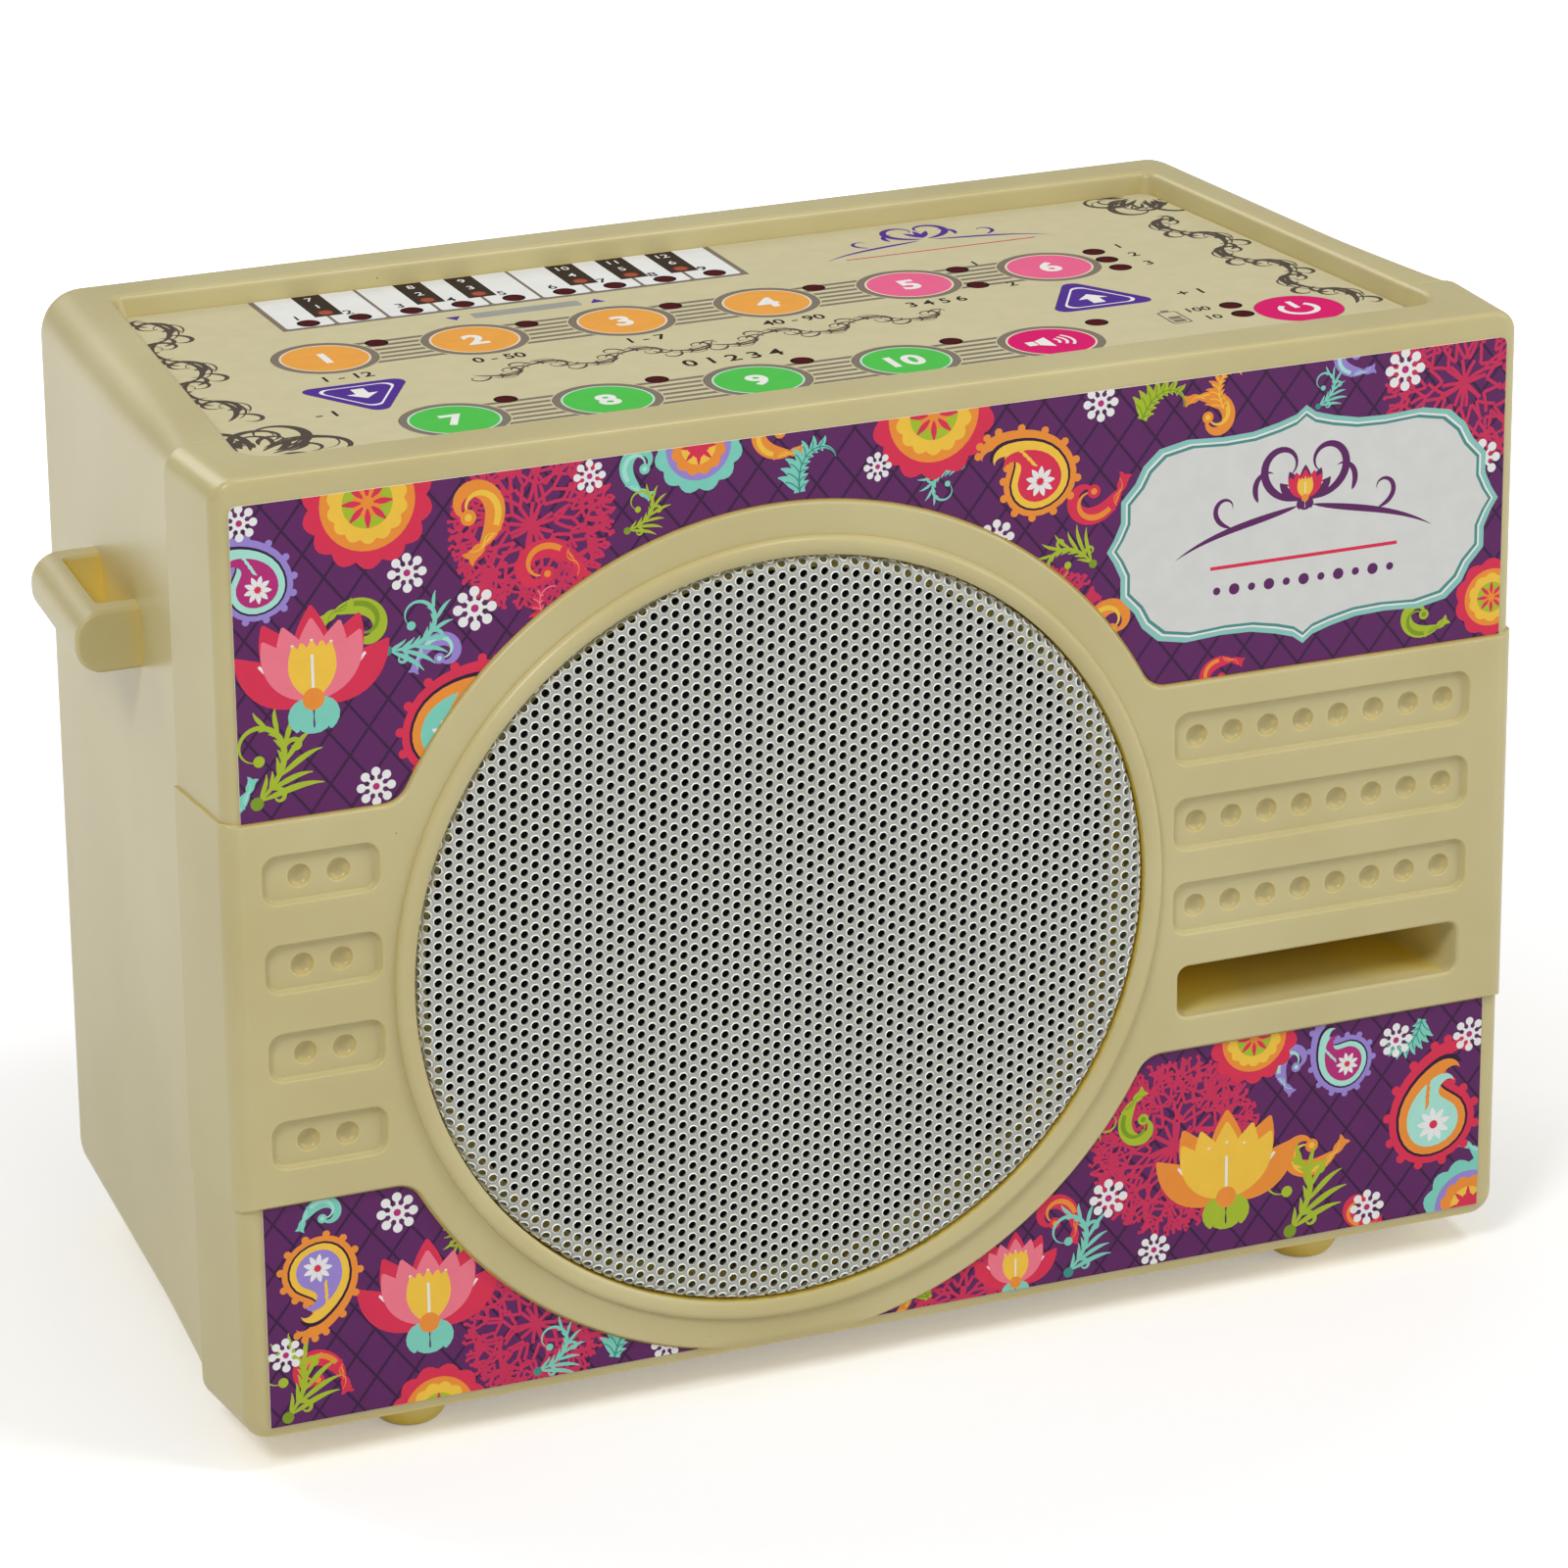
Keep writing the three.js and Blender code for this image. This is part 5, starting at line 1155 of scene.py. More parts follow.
# Labels: a printed pattern of quilting, vines, lotus, mango drops and rosettes, all common ornament
label = {"thick": 0.25, "gap": 0.25, "half": 90.3, "top": 68.7, "lowerHalf": 89.4, "bottom": 58.1,
         "corner": 1.0}
tints = {"ground": "#5D215E", "quilt": "#37113E", "deep": "#2C0C33", "crimson": "#DB2F50", "coral": "#CC2E58",
         "teal": "#7ED0BD", "deepTeal": "#3E8F86", "aqua": "#A9E3D3", "lime": "#A8BE2C", "moss": "#7E9A1F",
         "orange": "#EE9136", "yellow": "#F4C544", "lavender": "#9A86D1", "white": "#ECECEA",
         "plaque": "#D9D9D6", "plaqueEdge": "#8CC7BC", "plaqueLine": "#4E8F88", "pink": "#F07A8C",
         "magenta": "#B62A77"}


def upperLabel():
    level = belt["top"] + label["gap"]
    lx, lz, r, la = junction(-1, belt["top"], label["gap"])
    rx, rz, _, ra = junction(1, belt["top"], label["gap"])
    half, top, c = label["half"], label["top"], label["corner"]
    points = [(-half, level)]
    points += arcPoints(lx, lz, r, -pi / 2, la - pi, 8)
    points += arcPoints(speakerX, 0, belt["ring"] + label["gap"], la, ra, 96)[1:-1]
    points += arcPoints(rx, rz, r, ra - pi, -pi / 2, 8)
    points.append((half, level))
    points += arcPoints(half - c, top - c, c, 0, pi / 2, 5)
    points += arcPoints(-half + c, top - c, c, pi / 2, pi, 5)
    return points


def lowerLabel(side):
    level, ring = -belt["bottom"] - label["gap"], belt["ring"] + label["gap"]
    mx, mz, r, ma = junction(side, -belt["bottom"], label["gap"])
    tip = sqrt(ring ** 2 - label["bottom"] ** 2)
    start = atan2(-label["bottom"], side * tip)
    ma = start + (ma - start + pi) % (2 * pi) - pi
    first = ma + pi
    last = pi / 2 + 2 * pi * round((first - pi / 2) / (2 * pi))
    points = [(side * label["lowerHalf"], level), (side * label["lowerHalf"], -label["bottom"]),
              (speakerX + side * tip, -label["bottom"])]
    points += arcPoints(speakerX, 0, ring, start, ma, 40)[1:]
    points += arcPoints(mx, mz, r, first, last, 8)[1:]
    return points


def quilting(x0, x1, z0, z1):
    art = []
    slope, pitch = radians(52), 5.4
    dx, reach = cos(slope), (z1 - z0) / sin(slope)
    for k in range(int((x1 - x0 + reach) / pitch) + 2):
        x = x0 - reach * dx + k * pitch
        for side in (1, -1):
            a = (x if side > 0 else x + reach * dx, z0)
            b = (a[0] + side * reach * dx, z1)
            art.append((ribbonOver([a, b], [0.36, 0.36]), tints["quilt"]))
    return art


def around(count):
    return [2 * pi * k / count for k in range(count)]


def blossom():
    art, white = [], tints["white"]
    for a in around(8):
        art += [stroke(0.32 * cos(a), 0.32 * sin(a), degrees(a), 0.5, 0, 0.16, "line", white, 2),
                disc(0.85 * cos(a), 0.85 * sin(a), 0.26, white, 12)]
    return art + [disc(0, 0, 0.42, white, 16), disc(0, 0, 0.2, tints["magenta"], 12)]


def rosette(lobes=14, *colours):
    art, plain = [], ("crimson", "orange", "yellow", "lime", "orange")
    for k, colour in enumerate(colours or [tints[t] for t in plain]):
        radius = 1.0 - k * 0.19
        ring = disc(0, 0, radius * 0.93, colour, 36)
        art.append(ring if k % 2 else scallop(radius * 0.93, lobes, radius * 0.11, colour))
    return art + [stroke(0.1 * cos(a), 0.1 * sin(a), degrees(a), 0.3, 0, 0.1, "leaf", tints["crimson"], 6)
                  for a in around(8)]


def lotus(outer, inner, base):
    art = []
    petals = ((outer, 78, 1.0, 0.42), (inner, 52, 0.86, 0.36), (tints["yellow"], 26, 0.62, 0.26))
    for colour, spread, length, width in petals:
        for a in (-spread, spread, -spread * 0.55, spread * 0.55, 0):
            art += [stroke(0, 0, 90 + a, length, -a * 0.5, width, "leaf", colour, 12),
                    stroke(0, 0.04, 90 + a, length * 0.7, -a * 0.5, 0.035, "taper", tints["white"], 8)]
    art += [stroke(0.0, -0.02, 90 + a, 0.42, a * 1.2, 0.2, "leaf", base, 8) for a in (-108, 108, -90, 90)]
    return art + [disc(0, 0, 0.12, tints["orange"], 16)]


def bezierOutline(corners, steps=7):
    points = []
    for i in range(0, len(corners) - 1, 3):
        p, q, r, t = corners[i:i + 4]
        for u in (k / steps for k in range(steps)):
            v = 1 - u
            points.append(tuple(v ** 3 * a + 3 * v * v * u * b + 3 * v * u * u * c + u ** 3 * d
                                for a, b, c, d in zip(p, q, r, t)))
    return points


mangoOutline = bezierOutline([
    (0, -1), (-0.75, -1), (-1.12, -0.45), (-1.05, 0.15), (-0.98, 0.95), (-0.2, 1.45), (0.45, 1.62),
    (0.85, 1.72), (1.2, 1.55), (1.18, 1.2), (1.08, 1.42), (0.75, 1.38), (0.55, 1.15), (0.3, 0.85),
    (0.75, 0.62), (0.95, 0.25), (1.2, -0.35), (0.75, -1), (0, -1)])


def mango(colour, band, heart):
    # The curled drop of block prints: a scalloped edge, two bands, veins and a flower in its belly
    art = [disc(x * 1.04, z * 1.03, 0.11, colour, 8) for x, z in mangoOutline[:-21:2] + mangoOutline[-14::2]]
    for tint, size in ((colour, 1.0), (tints["deep"], 0.84), (band, 0.78), (heart, 0.6)):
        shape = [(x * size + 0.02 * (1 - size), z * size - 0.06 * (1 - size)) for x, z in mangoOutline]
        art.append(([shape], tint))
    art += [stroke(0.08 * cos(a), 0.08 * sin(a) - 0.12, degrees(a), 0.32, 0, 0.15, "leaf", tints["white"], 6)
            for a in around(9)]
    art += [disc(0, -0.12, 0.1, tints["crimson"], 12)]
    return art + [stroke(-0.1 + 0.06 * k, 0.3 + 0.17 * k, 40, 0.34 - 0.04 * k, 60, 0.09, "leaf", band, 6)
                  for k in range(4)]


def nodesAlong(path, count):
    # Places along a path, each with the path's heading there
    for k in range(count):
        (x, y), (nextX, nextY) = path[1 + k * 4], path[2 + k * 4]
        yield k, x, y, degrees(atan2(nextY - y, nextX - x))


def vine(colour, shade, seed):
    # A thin stem that coils at its end, with long bent blades outside and short hooks inside
    rng = random.Random(seed)
    art = [stroke(0, 0, 20, 4.6, (20, 640), 0.17, "swash", colour, 44)]
    path = wayOf(0, 0, 20, 4.6, 20, 640, 44)
    for k, x, y, heading in nodesAlong(path, 7):
        for side, full in ((-1, 1.7), (1, 0.7)):
            size = (full - 0.1 * k * full) * rng.uniform(0.85, 1.15)
            bend = (-side * 30, side * 70)
            art.append(stroke(x, y, heading + side * 30, size, bend, 0.15 * size ** 0.4, "leaf", colour, 12))
        if k % 3 == 1:
            art.append(stroke(x, y, heading - 30, 1.1, (-60, -620), 0.13, "swash", colour, 18))
    return art + [disc(*path[-1], 0.17, colour, 12), disc(0, 0, 0.2, shade, 12)]


def acanthus(colour, shade):
    # A leaf that curls over at its tip, with deep pointed lobes on the outer side
    heading, length, bend = 95, 1.7, (-10, -330)
    art, veins = [stroke(0, 0, heading, length, bend, 0.26, "taper", colour, 36)], []
    for k, x, y, here in nodesAlong(wayOf(0, 0, heading, length, *bend, 36), 7):
        for side, full in ((1, 0.62), (-1, 0.3)):
            size, way, lean = full * (1 - 0.09 * k), here + side * 34, (side * 10, side * 75)
            art.append(stroke(x, y, way, size, lean, 0.3 * size ** 0.7, "swash", colour, 10))
            veins.append(stroke(x, y, way, size * 0.66, lean, 0.028, "taper", shade, 7))
    return art + veins + [stroke(0, 0, heading, length, bend, 0.05, "taper", shade, 36)]


def volute(colour, inner):
    # A thick scroll with a lighter core, a bud where it ends and two leaves at its foot
    end = wayOf(0, 0, 10, 4.4, 30, 560, 40)[-1]
    art = [stroke(0, 0, 10, 4.4, (30, 560), 0.72, "swash", colour, 40),
           stroke(0.25, -0.02, 10, 3.6, (30, 520), 0.24, "swash", inner, 36),
           disc(*end, 0.3, colour, 14), disc(*end, 0.14, inner, 12)]
    for heading, bend in ((150, 90), (210, -90), (70, -140)):
        art += [stroke(0.2, 0, heading, 1.0, bend, 0.36, "leaf", colour, 10),
                stroke(0.2, 0, heading, 0.7, bend, 0.07, "taper", inner, 8)]
    return art


def coralSpray(x, z, radius, seed, count):
    # Twigs that fork out from a middle, after the netting in block prints
    rng, colour = random.Random(seed), tints["coral"]
    art = []

    def grow(px, pz, heading, length, width, level):
        art.append(stroke(px, pz, heading, length, rng.uniform(-25, 25), width, "line", colour, 3))
        end = wayOf(px, pz, heading, length, 0, 0, 1)[-1]
        if level == 0 or hypot(end[0] - x, end[1] - z) > radius:
            art.append(disc(*end, width * 0.75, colour, 8))
            return
        for side in (-1, 1):
            grow(*end, heading + side * rng.uniform(22, 48), length * 0.86, width * 0.93, level - 1)
    for k in range(count):
        grow(x, z, 360 * k / count + rng.uniform(-8, 8), radius * 0.24, 0.5, 4)
    return art


def plaqueShape(half, tall, grow):
    # A bracket-edged plaque: bows between cusps, the same on all four sides
    bows = [(1.0, 0.0), (0.965, 0.1), (0.93, 0.24), (0.93, 0.42), (0.86, 0.56), (0.82, 0.7), (0.74, 0.83),
            (0.6, 0.88), (0.42, 0.86), (0.27, 0.87), (0.14, 0.92), (0.05, 0.97), (0.0, 1.04)]
    points = [(u * (half + grow), v * (tall + grow)) for u, v in bows]
    points += [(-u, v) for u, v in points[::-1][1:]]
    return points + [(u, -v) for u, v in points[::-1][1:-1]]


def plaque():
    ground, crimson = tints["ground"], tints["crimson"]
    edges = ((1.5, "plaqueEdge"), (0.75, "white"), (0.45, "plaqueLine"), (0, "plaque"))
    art = [([plaqueShape(27.8, 14.6, grow)], tints[tint]) for grow, tint in edges]
    runs = ((1.2, 1, 8, 17, (80, 560), 1.1, "swash", 30), (1.0, 0.2, -14, 19, (20, -50), 0.9, "swash", 16),
            (7, 1.4, 62, 6, (50, 240), 0.8, "swash", 16), (11, -1.6, 16, 8, (60, 460), 0.7, "swash", 20))
    flourish = mirrored(curls(runs, ground)) + moved(lotus(ground, crimson, ground), 0, 1.2, 4.6)
    art += moved(flourish, 0, 2.6) + [([box2(-14, 14, -4.6, -4.1)], crimson)]
    return art + [disc(2.6 * k, -7.6, 0.55 if k % 2 else 0.8, ground, 14) for k in range(-5, 6)]


# What lies on each label: the quilting's box, the sprays (place, radius, seed, twigs), the scrolls
# (tint, place, size, turn) and the motifs, each over those before it
lime, teal = ("lime", "moss"), ("teal", "deepTeal")
crimsonLotus, lavenderMango = ("crimson", "pink", "teal"), ("lavender", "aqua", "magenta")
coolRosette = (12, "teal", "lavender", "orange", "yellow", "crimson")
scrollCores = {"orange": "yellow", "crimson": "orange", "lime": "moss", "teal": "aqua", "lavender": "aqua"}


def blossoms(*places):
    return tuple((blossom, (), *place) for place in places)


labels = {
    "label_upper": {
        "shape": upperLabel(), "quilting": (-91, 91, 26, 69),
        "sprays": ((-50, 61, 13, 5, 15), (84, 63, 14, 6, 15), (22, 37, 10, 7, 12)),
        "scrolls": (("orange", -57, 59, 2.5, 40), ("lime", -77, 53, 2.1, 210), ("crimson", -44, 55, 2.3, 120),
                    ("teal", -89, 31, 1.8, 70), ("orange", -14, 66, 1.9, 10), ("crimson", 33, 55, 2.2, 70),
                    ("orange", 44, 66, 1.9, 190), ("lavender", 69, 66.5, 1.6, 10),
                    ("orange", 29, 33, 2.1, 290), ("lime", 81, 29, 1.7, 30), ("crimson", 50, 28.5, 1.6, 160),
                    ("teal", -35, 63.5, 1.7, 330), ("lavender", -66, 45, 1.7, 250)),
        "motifs": (
            (vine, (*lime, 2), -88, 29, 4.6, 20), (vine, (*teal, 3), -70, 47, 3.6, -25),
            (vine, (*lime, 4), -37, 58.5, 2.5, -5), (vine, (*teal, 8), 10, 61, 2.4, 160),
            (vine, (*lime, 12), 29, 45, 3.0, 110), (vine, (*teal, 13), 62, 62.5, 2.1, 8),
            (rosette, (), -72, 67, 8.5), (rosette, (), 6, 68.5, 8.5), (rosette, coolRosette, -27, 68.5, 6.0),
            (lotus, crimsonLotus, -80, 42, 12.5), (mango, ("crimson", "orange", "teal"), -62, 35, 6.0, -12),
            (mango, ("orange", "yellow", "crimson"), 21, 58, 5.2, 24, True),
            (mango, lavenderMango, -87, 58, 4.6, 14, True), (acanthus, teal, -13, 60.5, 6),
            (acanthus, lime, 36, 64, 5.6, -30), (acanthus, teal, 28, 28.5, 6, 40),
            (acanthus, ("orange", "yellow"), 48, 64, 4.6, 20),
            (acanthus, ("crimson", "pink"), -46, 47, 5, 60),
            *blossoms((-58, 51, 2.7), (-67, 57, 2.4), (-89, 66.5, 2.2), (-72, 29, 2.4), (30, 67, 2.3),
                      (15, 50.5, 2.3), (75, 66, 2.7), (87, 52, 2.5), (-2, 62.5, 1.8), (-42, 66.5, 2.0)),
            (rosette, (10,), 89, 32, 5.4), (plaque, (), 60.3, 46.2))},
    "label_lower_left": {
        "shape": lowerLabel(-1), "quilting": (-91, -14, -60, -26), "sprays": ((-52, -50, 12, 9, 13),),
        "scrolls": (("crimson", -79, -53, 2.1, 100), ("orange", -57, -35, 2.0, 210),
                    ("lavender", -46, -49, 1.9, 60), ("lime", -29, -58.5, 1.2, 20),
                    ("teal", -84, -29.5, 1.5, 250)),
        "motifs": (
            (vine, (*lime, 5), -87, -57, 4.2, 30), (vine, (*teal, 6), -52, -57, 3.0, -5),
            (vine, (*lime, 14), -60, -33, 2.4, 190), (lotus, crimsonLotus, -67, -47, 12),
            (mango, ("orange", "yellow", "lavender"), -82, -37, 5.0, 200), (acanthus, teal, -41, -57, 6, -20),
            (rosette, (12,), -66, -60, 6.5),
            *blossoms((-71, -30.5, 2.6), (-55, -40, 2.3), (-33.5, -56.5, 2.0), (-87, -48, 2.2)))},
    "label_lower_right": {
        "shape": lowerLabel(1), "quilting": (-10, 91, -60, -26),
        "sprays": ((42, -41, 15, 11, 18), (10, -58, 8, 12, 11)),
        "scrolls": (("orange", 67, -46, 2.3, 50), ("lime", 36, -33, 1.9, 220), ("crimson", 27, -51, 2.0, 80),
                    ("teal", 88, -49, 1.7, 150), ("lavender", 59, -35, 1.7, 310),
                    ("orange", 0, -58.5, 1.3, 20), ("crimson", 73, -58, 1.6, 10)),
        "motifs": (
            (vine, (*lime, 7), 60, -57, 5.0, 30), (vine, (*teal, 9), 26, -57, 3.8, 25),
            (vine, (*lime, 15), 34, -32, 2.6, 170), (lotus, ("orange", "yellow", "lime"), 50, -50, 13),
            (lotus, crimsonLotus, 18, -57, 7.5), (mango, ("crimson", "orange", "aqua"), 82, -44, 6.4, 15),
            (acanthus, lime, 5, -57, 4.4, 25), (mango, lavenderMango, 68, -33, 4.2, 60),
            (acanthus, teal, 80, -28.5, 5.2, 160), (rosette, coolRosette, 88, -58, 7),
            (rosette, (), 54, -27, 6.5),
            *blossoms((32, -47, 2.6), (76, -31, 2.3), (87.5, -32, 2.3), (39, -56, 2.2), (72, -55.5, 2.4)))},
}

for node, plan in labels.items():
    art = quilting(*plan["quilting"])
    for spray in plan["sprays"]:
        art += coralSpray(*spray)
    for tint, x, z, size, turn in plan["scrolls"]:
        art += moved(volute(tints[tint], tints[scrollCores[tint]]), x, z, size * 1.45, turn, turn % 20 > 0)
    art += laidOut(plan["motifs"], tints)
    name = node.replace("label_", "printed_")
    sheet = printedSheet(name, plan["shape"], tints["ground"], art, 0.0, -label["thick"], False)
    finishPiece(sheet, looks["label"], "case", [node], weighted=False)
    print(node, "made:", len(sheet.data.polygons), "faces")


# Push-in feet: domes with a moulded dimple, on stems that stand in the shells
foot = {"radius": 5.5, "flat": 0.55, "stem": 2.0, "stemLength": 5.0, "stemEdge": 0.4, "dimple": 1.6}


def pushInFoot(node):
    low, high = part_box(node)
    x, y = (low[0] + high[0]) / 2 / mm, (low[1] + high[1]) / 2 / mm - frontFace
    table, top = -axisHeight, high[2] / mm - axisHeight
    under = top - foot["stemLength"]
    flat, dent, stem, edge = foot["radius"] * foot["flat"], foot["dimple"], foot["stem"], foot["stemEdge"]
    bulge, tall = foot["radius"] - flat, under - table
    profile = [(0, table + 0.5), (dent * 0.6, table + 0.42), (dent, table + 0.12), (dent + 0.4, table)]
    profile += [(flat + bulge * sin(a), under - tall * cos(a)) for a in quarter(10)]
    profile += [(stem, under), (stem, top - edge), (stem - edge, top), (0, top)]
    piece = newObject(node + "_dome", [turned(profile, x, y, 64, True)])
    return finishPiece(piece, looks["shell"], "case", [node])


for node in ("foot_front_left", "foot_front_right", "foot_rear_left", "foot_rear_right"):
    pushInFoot(node)


# Case screws, deep in their bores: one screw set out by Geometry Nodes, each turned its own way
screw = {"head": 3.0, "crown": 2.0, "shank": 1.5, "core": 1.15, "tip": 0.35, "point": 1.8, "length": 20.0,
         "pitch": 1.1, "thread": ((0, 0), (0.4, 1), (0.55, 1), (0.95, 0)), "cross": 1.55, "slot": 0.36,
         "deep": 1.3, "gap": 0.3, "seed": 4}


def panHeadScrew():
    head, crown, length, core = screw["head"], screw["crown"], screw["length"], screw["core"]
    profile = [(0, -length), (screw["tip"], -length), (core, -length + screw["point"])]
    for k in range(int((length - 4) / screw["pitch"])):
        start = -length + 2 + k * screw["pitch"]
        profile += [(screw["shank"] if out else core, start + along) for along, out in screw["thread"]]
    profile += [(core, 0), (head - 0.15, 0), (head, 0.15)]
    profile += [(head * (0.3 + 0.7 * cos(a)), crown * (0.3 + 0.7 * sin(a))) for a in quarter(8)]
    obj = newObject("panHeadScrew", [turned(profile + [(0, crown)], 0, 0, 40)])

    def cross(share, y):
        a, b = screw["cross"] * share, screw["slot"] * share
        return atDepth([(a, -b), (a, b), (b, b), (b, a), (-b, a), (-b, b),
                        (-a, b), (-a, -b), (-b, -b), (-b, -a), (b, -a), (b, -b)], y)
    drive = [cross(0.55, crown - screw["deep"]), cross(1.0, crown), cross(1.0, crown + 1)]
    return combine(obj, "DIFFERENCE", [loft(drive)])


def screwTree():
    tree, ids, given = newTree("screwsInPlace", {
        "Places": "Geometry", "Screw": "Object", "Most Turn": "Float", "Seed": "Int", "Finish": "Material"})
    most = addNode(tree, "ShaderNodeCombineXYZ", {1: given["Most Turn"]}).outputs[0]
    span = {0: (0.0, 0.0, 0.0), 1: most, "Seed": given["Seed"]}
    turn = addNode(tree, "FunctionNodeRandomValue", span, data_type="FLOAT_VECTOR").outputs[0]
    one = addNode(tree, "GeometryNodeObjectInfo", {"Object": given["Screw"]}).outputs["Geometry"]
    each = {"Points": given["Places"], "Instance": one, "Rotation": turn}
    laid = addNode(tree, "GeometryNodeInstanceOnPoints", each).outputs[0]
    real = addNode(tree, "GeometryNodeRealizeInstances", {0: laid}).outputs[0]
    finish = {"Geometry": real, "Material": given["Finish"]}
    addNode(tree, "NodeGroupOutput", {0: addNode(tree, "GeometryNodeSetMaterial", finish).outputs[0]})
    return tree, ids


def caseScrews():
    one = panHeadScrew()
    one.data.transform(Matrix.Translation(-inRow((0, 0, 0))))
    seat = towers["front"] + towers["seat"] + screw["gap"]
    mesh = bpy.data.meshes.new("caseScrews")
    mesh.from_pydata([inRow((x, seat, z)) for x, z in towerPlaces], [], [])
    values = {"Screw": one, "Most Turn": pi / 2, "Seed": screw["seed"], "Finish": looks["zinc"]}
    obj = grown(linked("caseScrews", mesh), *screwTree(), values)
    bpy.data.objects.remove(one)
    finishPiece(obj, looks["zinc"], "case", ["case_screw_%d" % k for k in range(1, 5)])
    print("screws made:", len(obj.data.polygons), "faces")


caseScrews()


# The two sockets in the back wall
jack = {"soft": 0.4, "deep": 3.0, "corner": 0.8, "pin": 1.0, "pinSunk": 1.4, "pinEnd": 0.8,
        "washer": 2.9, "washerGap": 0.02, "sheet": 0.6, "outerEdge": 0.12, "innerEdge": 0.25}


def backSocket(node, pinned):
    x, nose, bore = sockets[node]
    low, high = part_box(node)
    front, mouth = low[1] / mm - frontFace, high[1] / mm - frontFace
    half, z, soft = (high[0] - low[0]) / 2 / mm, sockets["z"], jack["soft"]
    shoulder = case["depth"] - case["wall"] - keyGap
    bottom = shoulder - jack["deep"]
    ring = rounded(box2(x - half, x + half, z - half, z + half), jack["corner"], 5)
    body = newObject(node + "_housing", [loft([atDepth(ring, front), atDepth(ring, shoulder)])])
    profile = [(0, shoulder - 1), (nose, shoulder - 1)]
    profile += [(nose - inward, mouth - left) for inward, left in eased(soft, 5)]
    combine(body, "UNION", [turned(profile + [(0, mouth)], x, z, 56)])
    if pinned:
        edge = [(bore, mouth - soft), (bore + soft, mouth), (bore + soft, mouth + 1)]
        sunk, pin = mouth - jack["pinSunk"], jack["pin"]
        profile = [(0, bottom - 0.5), (pin, bottom - 0.5)]
        profile += [(pin * cos(a), sunk + pin * jack["pinEnd"] * sin(a)) for a in quarter(6)[:-1]]
        contact = turned(profile + [(0, sunk + pin * jack["pinEnd"])], x, z, 32)
    else:
        step, washer = mouth - jack["sheet"], jack["washer"]
        edge = [(bore, step), (washer, step), (washer, mouth + 1)]
        outer, rounding, inside = washer - jack["washerGap"], jack["outerEdge"], jack["innerEdge"]
        contact = turned([(bore, step), (outer, step), (outer, mouth - rounding), (outer - rounding, mouth),
                          (bore + inside, mouth), (bore, mouth - inside), (bore, step)], x, z, 56)
    combine(body, "DIFFERENCE", [turned([(0, bottom), (bore, bottom), *edge, (0, mouth + 1)], x, z, 56)])
    finishPiece(body, looks["black"], "case", [node])
    finishPiece(newObject(node + "_contact", [contact]), looks["tin"], "case", [])


backSocket("power_inlet", True)
backSocket("line_out", False)
print("feet, screws and sockets made")


# The solids inside the closed case keep their shape and get their finish
finishes = {"speaker_frame": "zinc", "speaker_cone": "paper", "dust_cap": "paper",
            "speaker_magnet": "ferrite", "magnet_plate": "zinc", "speaker_gasket": "foam",
            "keypad_board": "board", "main_board": "board", "battery_pack": "wrap",
            "battery_tray": "black", "battery_strap": "black", "ribbon_cable": "ribbon"}
for name, obj in nodes.items():
    if obj.hide_render:
        continue
    finish = finishes.get(name) or ("zinc" if "screw" in name else "shell")
    obj.data.materials.clear()
    obj.data.materials.append(looks[finish])


# Camera, light and ground
studio = {"world": 0.33, "gloss": 0.5, "floor": 0.8, "near": 0.1, "far": 0.42, "dim": 0.3, "target": 0.06}
lamps = {"key": ((-0.95, -0.85, 1.3), 0.5, 11.7), "fill": ((1.2, -0.8, 0.6), 0.9, 5.2),
         "crown": ((0.45, -0.5, 1.3), 0.3, 4.0), "back": ((-0.5, 1.25, 1.0), 0.8, 5.5)}
eye = {"place": (-335.6, -764.1, 325.3), "azimuth": -22.73, "elevation": 20.19, "roll": -0.57, "lens": 154.6}


def addLamp(name, place, size, power):
    lamp = bpy.data.lights.new(name, "AREA")
    lamp.shape, lamp.size, lamp.energy = "DISK", size, power
    obj = linked(name, lamp)
    obj.location = place
    way = Vector((0, 0, studio["target"])) - Vector(place)
    obj.rotation_euler = way.to_track_quat("-Z", "Y").to_euler()


def addCamera():
    data = bpy.data.cameras.new("camera")
    data.sensor_width, data.sensor_fit, data.lens = 36, "HORIZONTAL", eye["lens"]
    data.clip_start = 0.01
    obj = linked("camera", data)
    obj.location = inRow(eye["place"])
    azimuth, elevation = radians(eye["azimuth"]), radians(eye["elevation"])
    forward = Vector((-sin(azimuth) * cos(elevation), cos(azimuth) * cos(elevation), -sin(elevation)))
    obj.rotation_mode = "QUATERNION"
    obj.rotation_quaternion = forward.to_track_quat("-Z", "Y") @ Quaternion((0, 0, 1), radians(eye["roll"]))
    scene.camera = obj


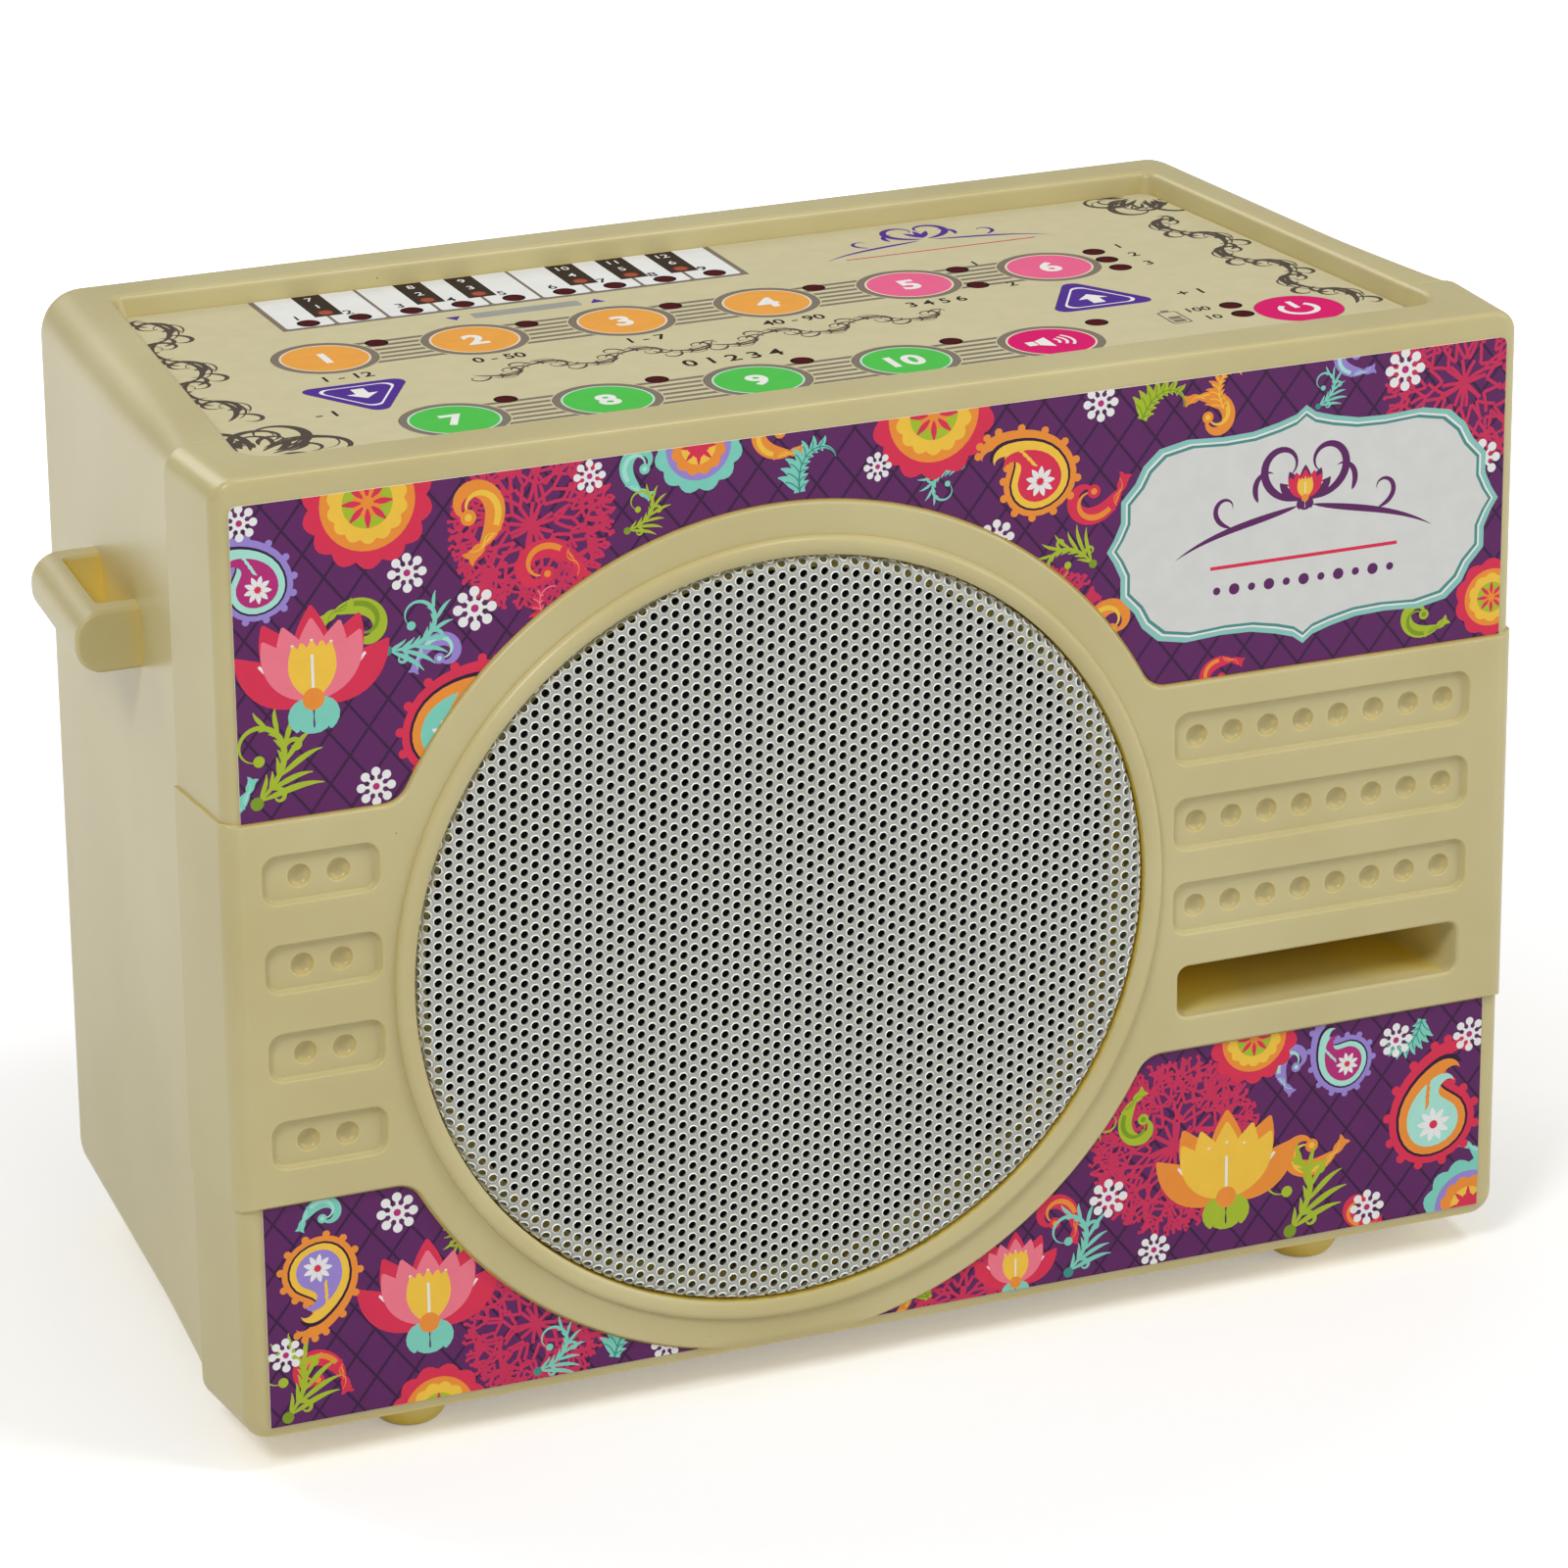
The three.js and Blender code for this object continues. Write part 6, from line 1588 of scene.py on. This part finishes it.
def addFloor():
    mesh = bpy.data.meshes.new("floor")
    bm = bmesh.new()
    bmesh.ops.create_grid(bm, x_segments=1, y_segments=1, size=6)
    bm.to_mesh(mesh)
    bm.free()
    material = bpy.data.materials.new("paleFloor")
    tree = emptyTree(material)

    def calc(operation, a, b):
        return addNode(tree, "ShaderNodeMath", {0: a, 1: b}, operation=operation).outputs[0]
    diffuse = addNode(tree, "ShaderNodeBsdfDiffuse", {"Color": [studio["floor"]] * 3 + [1]}).outputs[0]
    place = addNode(tree, "ShaderNodeTexCoord").outputs["Object"]
    away = addNode(tree, "ShaderNodeVectorMath", {0: place}, operation="LENGTH").outputs["Value"]
    # The floor glows white to the camera and in reflections; the glow is dimmer near the case, a painted
    # darkening round its foot, over which the lamps' real shadow falls
    fade = {"Value": away, "From Min": studio["near"], "From Max": studio["far"], "To Min": studio["dim"],
            "To Max": 1.0}
    glow = addNode(tree, "ShaderNodeMapRange", fade).outputs[0]
    path = addNode(tree, "ShaderNodeLightPath").outputs
    mirror = calc("MULTIPLY", path["Is Glossy Ray"], studio["gloss"])
    seen = calc("MAXIMUM", calc("MAXIMUM", path["Is Camera Ray"], mirror), path["Is Transmission Ray"])
    light = {"Color": (1, 1, 1, 1), "Strength": calc("MULTIPLY", glow, seen)}
    white = addNode(tree, "ShaderNodeEmission", light).outputs[0]
    both = addNode(tree, "ShaderNodeAddShader", {0: diffuse, 1: white}).outputs[0]
    addNode(tree, "ShaderNodeOutputMaterial", {"Surface": both})
    mesh.materials.append(material)
    floor = linked("floor", mesh)


def addSky():
    scene.world = bpy.data.worlds.new("studio")
    tree = emptyTree(scene.world)
    path = addNode(tree, "ShaderNodeLightPath").outputs
    span = {"Value": path["Is Camera Ray"], "To Min": studio["world"], "To Max": 1.0}
    strength = addNode(tree, "ShaderNodeMapRange", span).outputs[0]
    sky = addNode(tree, "ShaderNodeBackground", {"Color": (1, 1, 1, 1), "Strength": strength}).outputs[0]
    addNode(tree, "ShaderNodeOutputWorld", {"Surface": sky})


addCamera()
addFloor()
addSky()
for name, lamp in lamps.items():
    addLamp(name, *lamp)
scene.view_settings.view_transform = "Standard"
